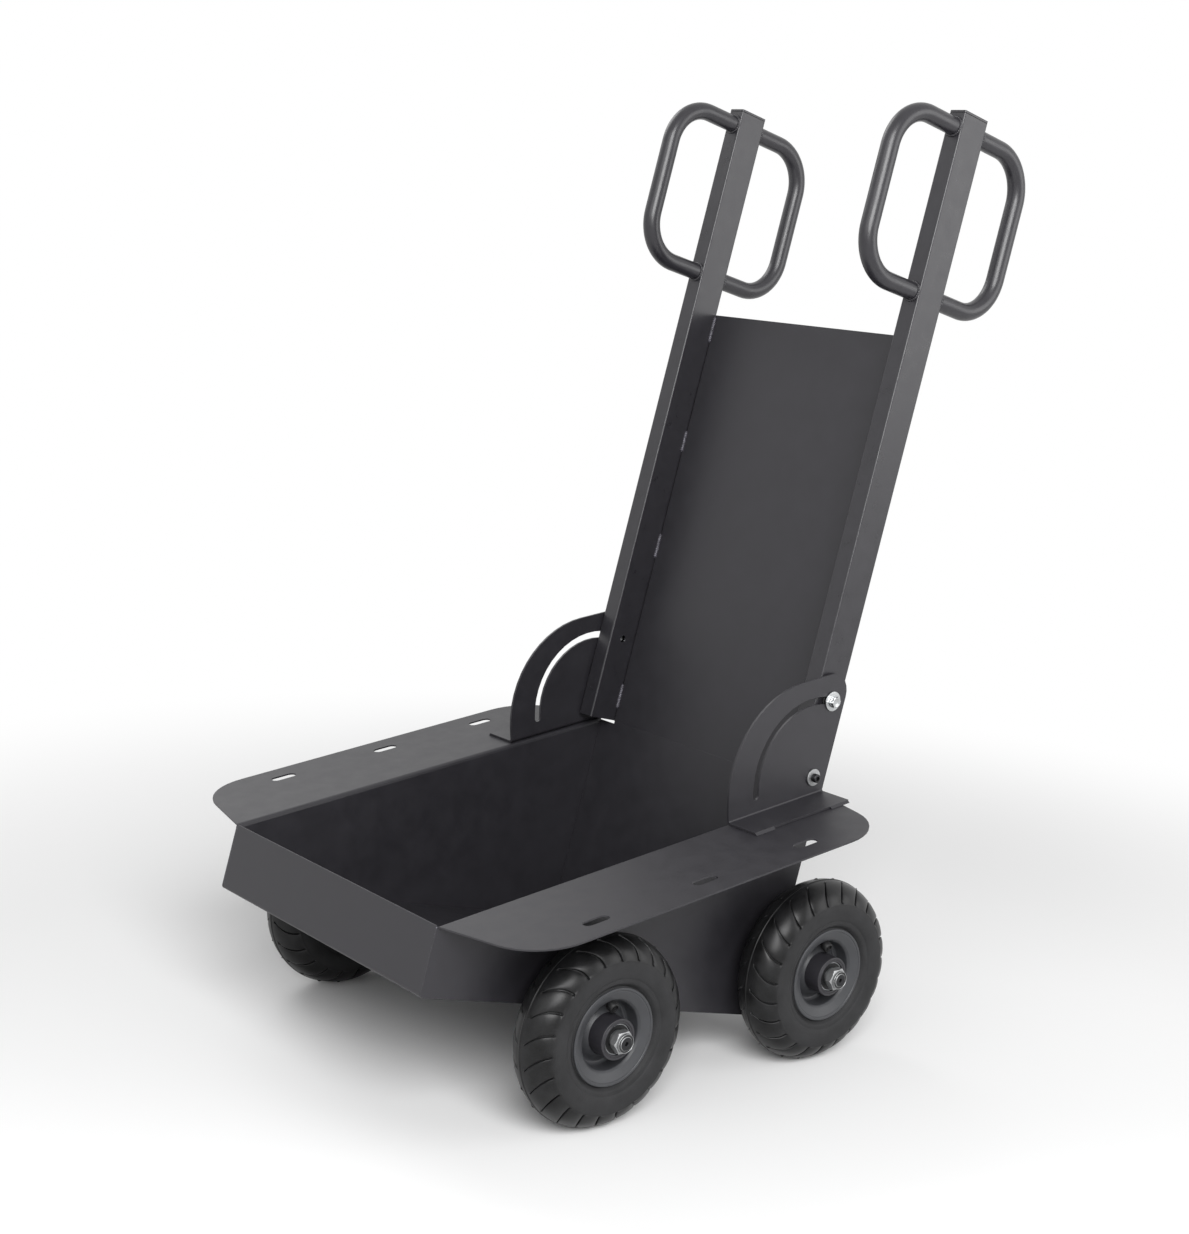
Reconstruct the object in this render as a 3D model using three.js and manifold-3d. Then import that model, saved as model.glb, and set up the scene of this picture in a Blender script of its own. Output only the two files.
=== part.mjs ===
// Camera cart: a sheet-steel tray on four pneumatic wheels, with a push frame that folds over the tray.
// Millimetres. X across the cart, +Y to the rear, +Z up. The cart stands on z = 0.
import * as THREE from "three";
import { mergeVertices } from "three/addons/utils/BufferGeometryUtils.js";
import Module from "manifold-3d";

const wasm = await Module();
wasm.setup();

// Overall clearances
const seatGap = 0.3; // between pieces that touch
const overrun = 2; // how far a cutting solid passes the piece that it cuts
const chordSag = 0.25; // from a curve to its chords
const chordTurn = THREE.MathUtils.degToRad(30); // largest turn from one chord to the next

// Tray: a folded pan between two side sheets
const sheet = 2;
const trayWidth = 409;
const floorLength = 527;
const frontWallHeight = 78;
const sideRearHeight = 279;
const rearNotchDrop = 2; // the rear wall's notches end this far below the sides, clear of the uprights' swing
const rearNotchGap = 1.5; // between an upright's inner face and the edge of its notch
const frontFloorHeight = 176; // front end of the floor above the ground
const trayLean = THREE.MathUtils.degToRad(15); // floor down to the rear; walls and push frame lean back
const panBendRadius = 4;

// Wings, folded outward from the top of each side sheet
const wingWidth = 135.5;
const wingCornerRadius = 70;
const wingSweep = 15; // how far the wing's ends run in before the corner's arc begins
const wingBendRadius = 5;
const strapSlotLength = 34;
const strapSlotWidth = 13;
const strapSlotSpacing = 154;
const strapSlotInset = 32; // slot's centre line from the wing's outer edge
const strapSlotPlaceShares = [-1, 0, 1];

// Wheels of the 2.50-4 size
const tyreDiameter = 220;
const tyreWidth = 65;
const tyreCrownHeight = 32; // from the widest place of the tyre's section up to its crown
const tyreWall = 6;
const beadRadius = 52;
const beadWidth = 9;
const beadSpread = 49.8; // over the outside of both beads
const lugCount = 23;
const grooveDepth = 3.2;
const grooveHalfWidth = 2.6;
const grooveSweep = THREE.MathUtils.degToRad(11);
// Rows of the tread: degrees round the tyre's section from the crown, and share of the grooves' sweep
const groovedRowShares = [
  [27, 0.52],
  [48, 0.87],
];
const shoulderRowShares = [
  [68, 1],
  [90, 1],
];
const wallRowShare = [130, 1];
const cavityRowShares = [
  [115, 1],
  [50, 1],
];
const tubeRingRadius = 75; // middle of the inner tube's section from the axle
const tubeSectionRadius = 18;
const tubeSectionSides = 6;
const stemRadius = 5;
const stemSides = 8;
const stemTipRadius = 4;
// Places along the valve stem, from the tube through the rim into its recess: x and distance from the axle
const stemRoot = { x: 4, out: 60 };
const stemBend = { x: 11.5, out: 38.5 };
const stemTip = { x: 25, out: 33 };
const rimSeatRadius = 51;
const rimFlangeRadius = 56;
const rimWidth = 54.4;
const rimSheet = 2;
const rimWellRadius = 40;
const rimWellWidth = 16;
const rimSeatWidth = 11.2;
const rimConeRadius = 33;
const rimConeRise = 10;
const hubRadius = 23.5;
const hubLength = 64;
const bearingRadius = 17.5;
const bearingWidth = 11;
const wheelSides = 16;
const shaftSides = 10;

// Axles
const axleRadius = 10;
const journalRadius = 8;
const axleEndReach = 16; // axle end beyond the hub
const wheelGap = 15; // between a side sheet and the tyre
const axleNutAcrossFlats = 24;
const axleNutHeight = 10;

// Push frame
const tubeWidth = 25;
const tubeDepth = 44;
const tubeWall = 2;
const tubeCornerRadius = 2.5;
const uprightLength = 822;
const uprightGap = 2; // between the uprights' lower ends and the tray's rear edge
const capThickness = 3;
const sideGap = 0.5; // between an upright and the inside of a side sheet
const panelHeight = 558;
const pivotHeight = 15.5; // pivot above an upright's lower end
const clampRadius = 94; // clamp bolt from the pivot, along the upright
const weldNutRadius = 7;
const weldNutLength = 8;
const gripTubeRadius = 11;
const gripHeight = 200; // between the centre lines of a grip's two arms
const gripReach = 98; // from the upright's face to the centre line of the grip's bar
const gripBendRadius = 53;
const gripTopInset = 17; // upper arm's centre line below the top of the tube
const gripSides = 8;
const gripSteps = 15;

// Quadrant brackets
const bracketSheet = 3;
const bracketRadius = 125;
const bracketFrontReach = 138; // front edge from the pivot
const bracketTop = 121; // top above the pivot
const bracketCornerRadius = 24;
const bracketBendRadius = 5;
const footWidth = 47; // from the upright part's inner face to the foot's outer edge
const quadrantSlotWidth = 9;
const weldLength = 30;
const weldLeg = 3;

// Fasteners
const boltRadius = 4;
const boltHoleRadius = 4.4;
const clampEndInset = 1.5; // clamp bolt's end inside the upright's inner face, where it shows in the hole
const spacerRadius = 11;
const pivotWasherRadius = 10.5;
const clampWasherRadius = 12;
const washerThickness = 2;
const pivotHeadRadius = 7;
const pivotHeadHeight = 4.4;
const socketAcrossFlats = 5;
const socketDepth = 2.6;
const clampHeadAcrossFlats = 13;
const clampHeadHeight = 5.5;
const fastenerSides = 10;

// Finishes
const powderCoat = { color: 0x47484a, roughness: 0.62, metalness: 0.35 };
const rubber = { color: 0x29292b, roughness: 0.85, metalness: 0 };
const zinc = { color: 0xb9bbbd, roughness: 0.35, metalness: 0.9 };
const blackSteel = { color: 0x1b1b1c, roughness: 0.5, metalness: 0.6 };
const nylon = { color: 0x202022, roughness: 0.6, metalness: 0 };

// Places that follow from the sizes
const trayHalf = trayWidth / 2;
const rimAngle = Math.atan2(sideRearHeight - frontWallHeight, floorLength); // rim against the floor
const rimLength = Math.hypot(sideRearHeight - frontWallHeight, floorLength);
const wheelRadius = tyreDiameter / 2;
const wheelMiddle = trayHalf + wheelGap + tyreWidth / 2;
const hubInner = wheelMiddle - hubLength / 2;
const hubOuter = wheelMiddle + hubLength / 2;
const uprightFoot = sideRearHeight + uprightGap;
const uprightOuter = trayHalf - sheet - sideGap;
const uprightInner = uprightOuter - tubeWidth;
const pivotAlong = floorLength - tubeDepth / 2;
const pivotUp = uprightFoot + pivotHeight;
const bracketInner = trayHalf + seatGap;
const bracketOuter = bracketInner + bracketSheet;
const washerInner = bracketOuter + seatGap;
const headInner = washerInner + washerThickness + seatGap;
const spacerThickness = bracketInner - uprightOuter - 2 * seatGap;

// A closed triangle mesh as a solid that can be joined and cut
function solidOf(geometry) {
  const bare = geometry.index ? geometry.toNonIndexed() : geometry.clone();
  bare.deleteAttribute("normal");
  bare.deleteAttribute("uv");
  const merged = mergeVertices(bare, 1e-4);
  const triVerts = new Uint32Array(merged.index.array);
  const vertProperties = new Float32Array(merged.attributes.position.array);
  const made = new wasm.Manifold(new wasm.Mesh({ numProp: 3, vertProperties, triVerts }));
  if (made.volume() > 0) return made;
  for (let i = 0; i < triVerts.length; i += 3) {
    [triVerts[i + 1], triVerts[i + 2]] = [triVerts[i + 2], triVerts[i + 1]];
  }
  return new wasm.Manifold(new wasm.Mesh({ numProp: 3, vertProperties, triVerts }));
}

// A solid back as a geometry for a mesh
function geometryOf(solid) {
  const mesh = solid.getMesh();
  const flat = new Float32Array(mesh.triVerts.length * 3);
  mesh.triVerts.forEach((vertex, i) => {
    for (let k = 0; k < 3; k++) flat[i * 3 + k] = mesh.vertProperties[vertex * mesh.numProp + k];
  });
  const geometry = new THREE.BufferGeometry();
  geometry.setAttribute("position", new THREE.BufferAttribute(flat, 3));
  geometry.computeVertexNormals();
  return geometry;
}

const point = (x, y) => new THREE.Vector2(x, y);

// Points along an arc, close enough for each chord to stay within chordSag of the true curve
function arc(x, y, radius, from, to) {
  const turn = Math.min(chordTurn, 2 * Math.acos(1 - chordSag / radius));
  const steps = Math.ceil(Math.abs(to - from) / turn);
  const points = [];
  for (let i = 0; i <= steps; i++) {
    const angle = from + ((to - from) * i) / steps;
    points.push(point(x + radius * Math.cos(angle), y + radius * Math.sin(angle)));
  }
  return points;
}

// An outline drawn in two of the axes, drawn out along the third from one place to another
const planes = {
  across: new THREE.Matrix4().makeBasis(
    new THREE.Vector3(0, 1, 0), new THREE.Vector3(0, 0, 1), new THREE.Vector3(1, 0, 0)),
  along: new THREE.Matrix4().makeBasis(
    new THREE.Vector3(1, 0, 0), new THREE.Vector3(0, 0, 1), new THREE.Vector3(0, -1, 0)),
  up: new THREE.Matrix4(),
};

function prism(shape, plane, from, to) {
  const geometry = new THREE.ExtrudeGeometry(shape, { depth: to - from, bevelEnabled: false });
  geometry.translate(0, 0, from);
  geometry.applyMatrix4(planes[plane]);
  return solidOf(geometry);
}

// A profile of (x, radius) points, turned round the X axis
function turned(points, sides) {
  const profile = points.map(([x, radius]) => new THREE.Vector2(radius, x));
  const geometry = new THREE.LatheGeometry(profile, sides);
  geometry.rotateZ(-Math.PI / 2);
  return solidOf(geometry);
}

// A ring round the X axis, closed on itself
function ring(from, to, inner, outer, sides) {
  return turned([[from, inner], [from, outer], [to, outer], [to, inner], [from, inner]], sides);
}

function box(low, high) {
  const size = new THREE.Vector3().subVectors(high, low);
  const geometry = new THREE.BoxGeometry(size.x, size.y, size.z);
  geometry.translate(...new THREE.Vector3().lerpVectors(low, high, 1 / 2).toArray());
  return solidOf(geometry);
}

function polygon(sides, acrossFlats) {
  const radius = acrossFlats / 2 / Math.cos(Math.PI / sides);
  const points = [];
  for (let i = 0; i < sides; i++) {
    const angle = (2 * Math.PI * i) / sides;
    points.push(new THREE.Vector2(radius * Math.cos(angle), radius * Math.sin(angle)));
  }
  return new THREE.Shape(points);
}

// A solid moved by a group's own turn and place, for cuts in another group's frame
function moved(solid, matrix) {
  const geometry = geometryOf(solid);
  geometry.applyMatrix4(matrix);
  return solidOf(geometry);
}

function mesh(name, solid, finish) {
  const made = new THREE.Mesh(geometryOf(solid), new THREE.MeshStandardMaterial(finish));
  made.name = name;
  return made;
}

// Frames: the tray's frame has its floor level, and the rim's frame has the wings level
const trayGroup = new THREE.Group();
trayGroup.position.z = frontFloorHeight;
trayGroup.rotation.x = -trayLean;
const rimInTray = new THREE.Matrix4()
  .makeTranslation(0, 0, frontWallHeight)
  .multiply(new THREE.Matrix4().makeRotationX(rimAngle));
const pivotInTray = new THREE.Matrix4()
  .makeTranslation(0, pivotAlong, pivotUp)
  .multiply(new THREE.Matrix4().makeRotationX(rimAngle));
const pivotInRim = new THREE.Vector3(0, pivotAlong, pivotUp).applyMatrix4(rimInTray.clone().invert());

const sides = [
  { word: "left", sign: -1 },
  { word: "right", sign: 1 },
];

// Mirrors a right-hand solid to the cart's left side
function onSide(solid, sign) {
  return sign > 0 ? solid : moved(solid, new THREE.Matrix4().makeScale(-1, 1, 1));
}

// Pan: front wall, floor and rear wall from one sheet with two bends, notched under the uprights
function panSolid() {
  const outer = panBendRadius;
  const inner = panBendRadius - sheet;
  const rearHeight = uprightFoot - seatGap;
  const profile = new THREE.Shape([
    point(0, frontWallHeight),
    ...arc(outer, outer, outer, Math.PI, 1.5 * Math.PI),
    ...arc(floorLength - outer, outer, outer, 1.5 * Math.PI, 2 * Math.PI),
    point(floorLength, rearHeight),
    point(floorLength - sheet, rearHeight),
    ...arc(floorLength - outer, outer, inner, 2 * Math.PI, 1.5 * Math.PI),
    ...arc(outer, outer, inner, 1.5 * Math.PI, Math.PI),
    point(sheet, frontWallHeight),
  ]);
  const half = trayHalf - sheet - seatGap;
  let made = prism(profile, "across", -half, half);
  const notchLow = new THREE.Vector3(
    uprightInner - rearNotchGap, floorLength - sheet - overrun, sideRearHeight - rearNotchDrop);
  const notchHigh = new THREE.Vector3(half + overrun, floorLength + overrun, rearHeight + overrun);
  const notch = box(notchLow, notchHigh);
  for (const { sign } of sides) made = made.subtract(onSide(notch, sign));
  return made;
}

// Outline of the wing seen from above in the rim's frame, with the strip that the side wall stands in
function wingOutline() {
  const wall = trayHalf - sheet - overrun;
  const start = trayHalf + seatGap;
  const centreX = trayHalf + wingWidth - wingCornerRadius;
  const centreY = wingCornerRadius + wingSweep;
  const reach = Math.hypot(centreX - start, centreY);
  const slant = Math.atan2(centreY, centreX - start) - Math.asin(wingCornerRadius / reach);
  return new THREE.Shape([
    point(wall, -frontWallHeight),
    point(start, -frontWallHeight),
    point(start, 0),
    ...arc(centreX, centreY, wingCornerRadius, slant - Math.PI / 2, 0),
    ...arc(centreX, rimLength - centreY, wingCornerRadius, 0, Math.PI / 2 - slant),
    point(start, rimLength),
    point(start, rimLength + overrun),
    point(wall, rimLength + overrun),
  ]);
}

function strapSlot(middle) {
  const radius = strapSlotWidth / 2;
  const straight = (strapSlotLength - strapSlotWidth) / 2;
  const x = trayHalf + wingWidth - strapSlotInset;
  return new THREE.Shape([
    ...arc(x, middle + straight, radius, 0, Math.PI),
    ...arc(x, middle - straight, radius, Math.PI, 2 * Math.PI),
  ]);
}

// Sheet folded outward from a wall, as a profile across the bend: wall below, flange outward
function foldedProfile(wallFace, thickness, bendRadius, wallDepth, flangeEdge) {
  const bendX = wallFace + bendRadius;
  return new THREE.Shape([
    point(wallFace, -wallDepth),
    ...arc(bendX, -bendRadius, bendRadius, Math.PI, Math.PI / 2),
    point(flangeEdge, 0),
    point(flangeEdge, -thickness),
    ...arc(bendX, -bendRadius, bendRadius - thickness, Math.PI / 2, Math.PI),
    point(wallFace + thickness, -wallDepth),
  ]);
}

// Side sheet: wall, bend and wing, made in the rim's frame and cut to the tray's side outline
function sideSolid() {
  const depth = sideRearHeight + overrun;
  const profile = foldedProfile(
    trayHalf - sheet, sheet, wingBendRadius, depth, trayHalf + wingWidth + overrun);
  const folded = prism(profile, "along", -rimLength - depth, depth);
  const plan = prism(wingOutline(), "up", -depth - overrun, overrun);
  let made = moved(folded.intersect(plan), rimInTray);
  const outline = new THREE.Shape([
    point(0, sideRearHeight + wingBendRadius),
    ...arc(panBendRadius, panBendRadius, panBendRadius, Math.PI, 1.5 * Math.PI),
    ...arc(floorLength - panBendRadius, panBendRadius, panBendRadius, 1.5 * Math.PI, 2 * Math.PI),
    point(floorLength, sideRearHeight + wingBendRadius),
  ]);
  made = made.intersect(
    prism(outline, "across", trayHalf - sheet - overrun, trayHalf + wingWidth + overrun));
  for (const share of strapSlotPlaceShares) {
    const slot = prism(strapSlot(rimLength / 2 + share * strapSlotSpacing), "up", -overrun - sheet, overrun);
    made = made.subtract(moved(slot, rimInTray));
  }
  return made;
}

// The slot that the clamp bolt runs in, about the pivot, from the upright's rest to its fold
function quadrantSlot() {
  const radius = quadrantSlotWidth / 2;
  const rest = Math.PI / 2 - rimAngle;
  return new THREE.Shape([
    ...arc(0, 0, clampRadius + radius, rest, Math.PI),
    ...arc(-clampRadius, 0, radius, Math.PI, 2 * Math.PI),
    ...arc(0, 0, clampRadius - radius, Math.PI, rest),
    ...arc(
      clampRadius * Math.cos(rest), clampRadius * Math.sin(rest), radius, rest + Math.PI, rest + 2 * Math.PI),
  ]);
}

// Bracket in the rim's frame with its origin at the pivot: a slotted plate folded out to a foot
function bracketSolid() {
  const footBase = -pivotInRim.z + seatGap;
  const footEdge = bracketInner + footWidth;
  const rearAt = (up) => (tubeDepth / 2 + up * Math.sin(rimAngle)) / Math.cos(rimAngle);
  const cornerUp = bracketTop - bracketCornerRadius;
  const cornerAlong = rearAt(cornerUp) - bracketCornerRadius / Math.cos(rimAngle);
  const frontArcAlong = bracketRadius - bracketFrontReach;
  const outline = new THREE.Shape([
    point(-bracketFrontReach, footBase - overrun),
    ...arc(frontArcAlong, bracketTop - bracketRadius, bracketRadius, Math.PI, Math.PI / 2),
    ...arc(cornerAlong, cornerUp, bracketCornerRadius, Math.PI / 2, -rimAngle),
    point(rearAt(footBase - overrun), footBase - overrun),
  ]);
  const profile = foldedProfile(
    bracketInner, bracketSheet, bracketBendRadius, bracketTop - footBase + overrun, footEdge);
  const upturned = new THREE.Matrix4().makeTranslation(0, 0, footBase).multiply(
    new THREE.Matrix4().makeScale(1, 1, -1));
  const folded = moved(prism(profile, "along", -bracketFrontReach, bracketFrontReach), upturned);
  const past = [bracketInner - overrun, bracketOuter + overrun];
  let made = folded
    .intersect(prism(outline, "across", bracketInner - overrun, footEdge + overrun))
    .subtract(prism(quadrantSlot(), "across", ...past))
    .subtract(prism(polygon(fastenerSides, 2 * boltHoleRadius), "across", ...past));
  const bead = new THREE.Shape([
    point(footEdge - seatGap, footBase),
    point(footEdge + weldLeg, footBase),
    point(footEdge - seatGap, footBase + bracketSheet),
  ]);
  for (const start of [-bracketFrontReach, rearAt(footBase) - weldLength]) {
    made = made.add(prism(bead, "along", -start - weldLength, -start));
  }
  return made;
}

// Outline of the upright's tube, seen along its length
function tubeOutline() {
  const radius = tubeCornerRadius;
  const rear = floorLength - radius;
  const front = floorLength - tubeDepth + radius;
  return new THREE.Shape([
    ...arc(uprightOuter - radius, rear, radius, 0, Math.PI / 2),
    ...arc(uprightInner + radius, rear, radius, Math.PI / 2, Math.PI),
    ...arc(uprightInner + radius, front, radius, Math.PI, 1.5 * Math.PI),
    ...arc(uprightOuter - radius, front, radius, 1.5 * Math.PI, 2 * Math.PI),
  ]);
}

// Upright: a rectangular tube, open below, with a weld nut for each bolt inside its outer wall
function uprightSolid() {
  const front = floorLength - tubeDepth;
  const top = uprightFoot + uprightLength;
  let made = prism(tubeOutline(), "up", uprightFoot, top).subtract(
    box(
      new THREE.Vector3(uprightInner + tubeWall, front + tubeWall, uprightFoot - overrun),
      new THREE.Vector3(uprightOuter - tubeWall, floorLength - tubeWall, top + overrun)));
  const nutEnd = uprightOuter - tubeWall - weldNutLength;
  const hole = polygon(fastenerSides, 2 * boltHoleRadius);
  const nut = prism(polygon(fastenerSides, 2 * weldNutRadius), "across", nutEnd, uprightOuter - tubeWall / 2);
  const nutBore = prism(hole, "across", nutEnd - overrun, uprightOuter + overrun);
  const through = prism(hole, "across", uprightInner - overrun, uprightOuter + overrun);
  const pivotPlace = new THREE.Matrix4().makeTranslation(0, pivotAlong, pivotUp);
  const clampPlace = new THREE.Matrix4().makeTranslation(0, pivotAlong, pivotUp + clampRadius);
  made = made.add(moved(nut, pivotPlace)).subtract(moved(nutBore, pivotPlace));
  return made.add(moved(nut, clampPlace)).subtract(moved(through, clampPlace));
}

// Grip: a round tube bent into a U, its two arms square to the upright's face
class GripPath extends THREE.CurvePath {
  constructor(face, direction) {
    super();
    const upper = uprightFoot + uprightLength - gripTopInset;
    const lower = upper - gripHeight;
    const middle = (uprightInner + uprightOuter) / 2;
    const bar = face + direction * gripReach;
    const bend = bar - direction * gripBendRadius;
    const place = (along, up) => new THREE.Vector3(middle, along, up);
    const kappa = (4 / 3) * Math.tan(Math.PI / 8) * gripBendRadius;
    this.add(new THREE.LineCurve3(place(face, lower), place(bend, lower)));
    this.add(
      new THREE.CubicBezierCurve3(
        place(bend, lower), place(bend + direction * kappa, lower),
        place(bar, lower + gripBendRadius - kappa), place(bar, lower + gripBendRadius)));
    this.add(
      new THREE.LineCurve3(place(bar, lower + gripBendRadius), place(bar, upper - gripBendRadius)));
    this.add(
      new THREE.CubicBezierCurve3(
        place(bar, upper - gripBendRadius), place(bar, upper - gripBendRadius + kappa),
        place(bend + direction * kappa, upper), place(bend, upper)));
    this.add(new THREE.LineCurve3(place(bend, upper), place(face, upper)));
  }
}

function gripSolid(face, direction) {
  const section = polygon(gripSides, 2 * gripTubeRadius * Math.cos(Math.PI / gripSides));
  const path = new GripPath(face + direction * seatGap, direction);
  const sweep = { steps: gripSteps, extrudePath: path, bevelEnabled: false };
  return solidOf(new THREE.ExtrudeGeometry(section, sweep));
}

// Tyre: rings of points round the axle, stitched from the crown to the beads and back through the cavity
function tyreSolid() {
  const pitch = (2 * Math.PI) / lugCount;
  const grooveTurn = grooveHalfWidth / wheelRadius;
  const middle = wheelRadius - tyreCrownHeight;
  // Points of the tread are [x, radius, angle]; the wheel stands on the middle of a lug
  const tread = (x, radius, sweepShare, depths) => {
    const points = [];
    for (let i = 0; i < lugCount; i++) {
      const angle = (i + 1 / 2) * pitch - Math.PI / 2 + grooveSweep * sweepShare;
      for (const [turn, depth] of depths) points.push([x, radius - depth, angle + turn]);
    }
    return points;
  };
  // Points of the side walls and beads follow the rim's sides, and start beside the tread's first groove
  const wall = (x, radius) => {
    const points = [];
    for (let i = 1; i <= wheelSides; i++) {
      points.push([x, radius, (2 * Math.PI * i) / wheelSides - Math.PI / 2]);
    }
    return points;
  };
  const row = (sign, [degrees, sweepShare], inset, depths) => {
    const angle = THREE.MathUtils.degToRad(degrees);
    const x = sign * (tyreWidth / 2 - inset) * Math.sin(angle);
    const radius = middle + (tyreCrownHeight - inset) * Math.cos(angle);
    return depths ? tread(x, radius, sweepShare, depths) : wall(x, radius);
  };
  const plain = [[0, 0]];
  const grooved = [[0, grooveDepth], [grooveTurn, 0], [pitch - grooveTurn, 0]];
  const half = (sign) => [
    ...groovedRowShares.map((shares) => row(sign, shares, 0, grooved)),
    ...shoulderRowShares.map((shares) => row(sign, shares, 0, plain)),
    row(sign, wallRowShare, 0),
    wall((sign * beadSpread) / 2, beadRadius),
    wall(sign * (beadSpread / 2 - beadWidth), beadRadius),
    ...cavityRowShares.map((shares) => row(sign, shares, tyreWall)),
  ];
  const crown = wheelRadius / Math.cos(pitch / 2); // the crown's flats lie at the wheel's radius
  const rows = [tread(0, crown, 0, plain), ...half(1), ...half(-1).reverse()];
  const flat = [];
  const push = ([x, radius, angle]) => flat.push(x, radius * Math.cos(angle), radius * Math.sin(angle));
  const turnTo = (points, i) =>
    points[i % points.length][2] + (i < points.length ? 0 : 2 * Math.PI);
  rows.forEach((these, k) => {
    const next = rows[(k + 1) % rows.length];
    let i = 0;
    let j = 0;
    while (i < these.length || j < next.length) {
      push(these[i % these.length]);
      push(next[j % next.length]);
      if (j === next.length || (i < these.length && turnTo(these, i + 1) <= turnTo(next, j + 1))) {
        i += 1;
        push(these[i % these.length]);
      } else {
        j += 1;
        push(next[j % next.length]);
      }
    }
  });
  const geometry = new THREE.BufferGeometry();
  geometry.setAttribute("position", new THREE.Float32BufferAttribute(flat, 3));
  return solidOf(geometry);
}

// A round bar between two places of the wheel's section
function bar(start, end, radius) {
  const from = new THREE.Vector3(start.x, 0, start.out);
  const to = new THREE.Vector3(end.x, 0, end.out);
  const geometry = new THREE.CylinderGeometry(radius, radius, from.distanceTo(to), stemSides);
  geometry.rotateX(Math.PI / 2);
  geometry.lookAt(new THREE.Vector3().subVectors(to, from));
  geometry.translate(...new THREE.Vector3().lerpVectors(from, to, 1 / 2).toArray());
  return solidOf(geometry);
}

function innerTubeSolid() {
  const torus = new THREE.TorusGeometry(tubeRingRadius, tubeSectionRadius, tubeSectionSides, shaftSides);
  torus.rotateY(Math.PI / 2);
  return solidOf(torus)
    .add(bar(stemRoot, stemBend, stemRadius))
    .add(bar(stemBend, stemTip, stemTipRadius));
}

// Half of the pressed rim: cone to the hub, well, bead seat and flange
function rimSolid() {
  const face = seatGap / 2;
  const bore = (hubRadius + seatGap) / Math.cos(Math.PI / wheelSides);
  const half = rimWidth / 2;
  const well = rimWellWidth / 2;
  const seat = half - rimSheet - rimSeatWidth;
  return turned(
    [
      [face + rimConeRise, bore],
      [face, rimConeRadius],
      [face, rimWellRadius],
      [well, rimWellRadius],
      [seat, rimSeatRadius],
      [half - rimSheet, rimSeatRadius],
      [half - rimSheet, rimFlangeRadius],
      [half, rimFlangeRadius],
      [half, rimSeatRadius - rimSheet],
      [seat + rimSheet / 2, rimSeatRadius - rimSheet],
      [well + rimSheet / 2, rimWellRadius - rimSheet],
      [face + rimSheet, rimWellRadius - rimSheet],
      [face + rimSheet, rimConeRadius],
      [face + rimSheet + rimConeRise, bore],
      [face + rimConeRise, bore],
    ],
    wheelSides);
}

function hubSolid() {
  const inner = (bearingRadius + seatGap) / Math.cos(Math.PI / wheelSides);
  return ring(-hubLength / 2, hubLength / 2, inner, hubRadius, wheelSides);
}

function bearingSolid() {
  const inner = (journalRadius + seatGap) / Math.cos(Math.PI / shaftSides);
  return ring(-bearingWidth / 2, bearingWidth / 2, inner, bearingRadius, shaftSides);
}

// Axle: a bar across the cart with a journal for the wheel at each end
function axleSolid() {
  const end = hubOuter + axleEndReach;
  const shoulder = hubInner - seatGap;
  return turned(
    [
      [-end, 0],
      [-end, journalRadius],
      [-shoulder, journalRadius],
      [-shoulder, axleRadius],
      [shoulder, axleRadius],
      [shoulder, journalRadius],
      [end, journalRadius],
      [end, 0],
    ],
    shaftSides);
}

function hexNut(acrossFlats, height, boreRadius) {
  const shape = polygon(6, acrossFlats);
  const bore = polygon(fastenerSides, 2 * boreRadius);
  shape.holes.push(new THREE.Path(bore.getPoints().reverse()));
  return prism(shape, "across", 0, height);
}

// Button-head bolt with a hexagon socket, its head's seat at x = 0 and its shank inward
function pivotBoltSolid(shankEnd) {
  const head = turned(
    [
      [pivotHeadHeight, 0],
      [pivotHeadHeight, pivotHeadRadius / 2],
      [pivotHeadHeight / 2, pivotHeadRadius],
      [0, pivotHeadRadius],
      [0, boltRadius],
      [shankEnd, boltRadius],
      [shankEnd, 0],
    ],
    fastenerSides);
  const socket = polygon(6, socketAcrossFlats);
  return head.subtract(prism(socket, "across", pivotHeadHeight - socketDepth, pivotHeadHeight + overrun));
}

function clampBoltSolid(shankEnd) {
  const head = prism(polygon(6, clampHeadAcrossFlats), "across", 0, clampHeadHeight);
  const shank = prism(polygon(fastenerSides, 2 * boltRadius), "across", shankEnd, boltRadius / 2);
  return head.add(shank);
}

function washerSolid(thickness, radius) {
  const inner = (boltRadius + seatGap) / Math.cos(Math.PI / fastenerSides);
  return ring(0, thickness, inner, radius, fastenerSides);
}

// The cart, put together
const cart = new THREE.Group();
cart.add(trayGroup);
trayGroup.add(mesh("tray_pan", panSolid(), powderCoat));

const side = sideSolid();
const bracket = moved(bracketSolid(), pivotInTray);
const upright = uprightSolid();
const gripFront = gripSolid(floorLength - tubeDepth, -1);
const gripRear = gripSolid(floorLength, 1);
const capBase = uprightFoot + uprightLength + seatGap;
const cap = prism(tubeOutline(), "up", capBase, capBase + capThickness);
const shankEnd = uprightOuter - tubeWall - weldNutLength - headInner;
const clampEnd = uprightInner + clampEndInset - headInner;
const fasteners = [
  ["pivot_bolt", pivotBoltSolid(shankEnd), headInner, 0, blackSteel],
  ["pivot_washer", washerSolid(washerThickness, pivotWasherRadius), washerInner, 0, zinc],
  ["pivot_spacer", washerSolid(spacerThickness, spacerRadius), uprightOuter + seatGap, 0, nylon],
  ["clamp_bolt", clampBoltSolid(clampEnd), headInner, clampRadius, zinc],
  ["clamp_washer", washerSolid(washerThickness, clampWasherRadius), washerInner, clampRadius, zinc],
  ["clamp_spacer", washerSolid(spacerThickness, spacerRadius), uprightOuter + seatGap, clampRadius, nylon],
];
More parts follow.
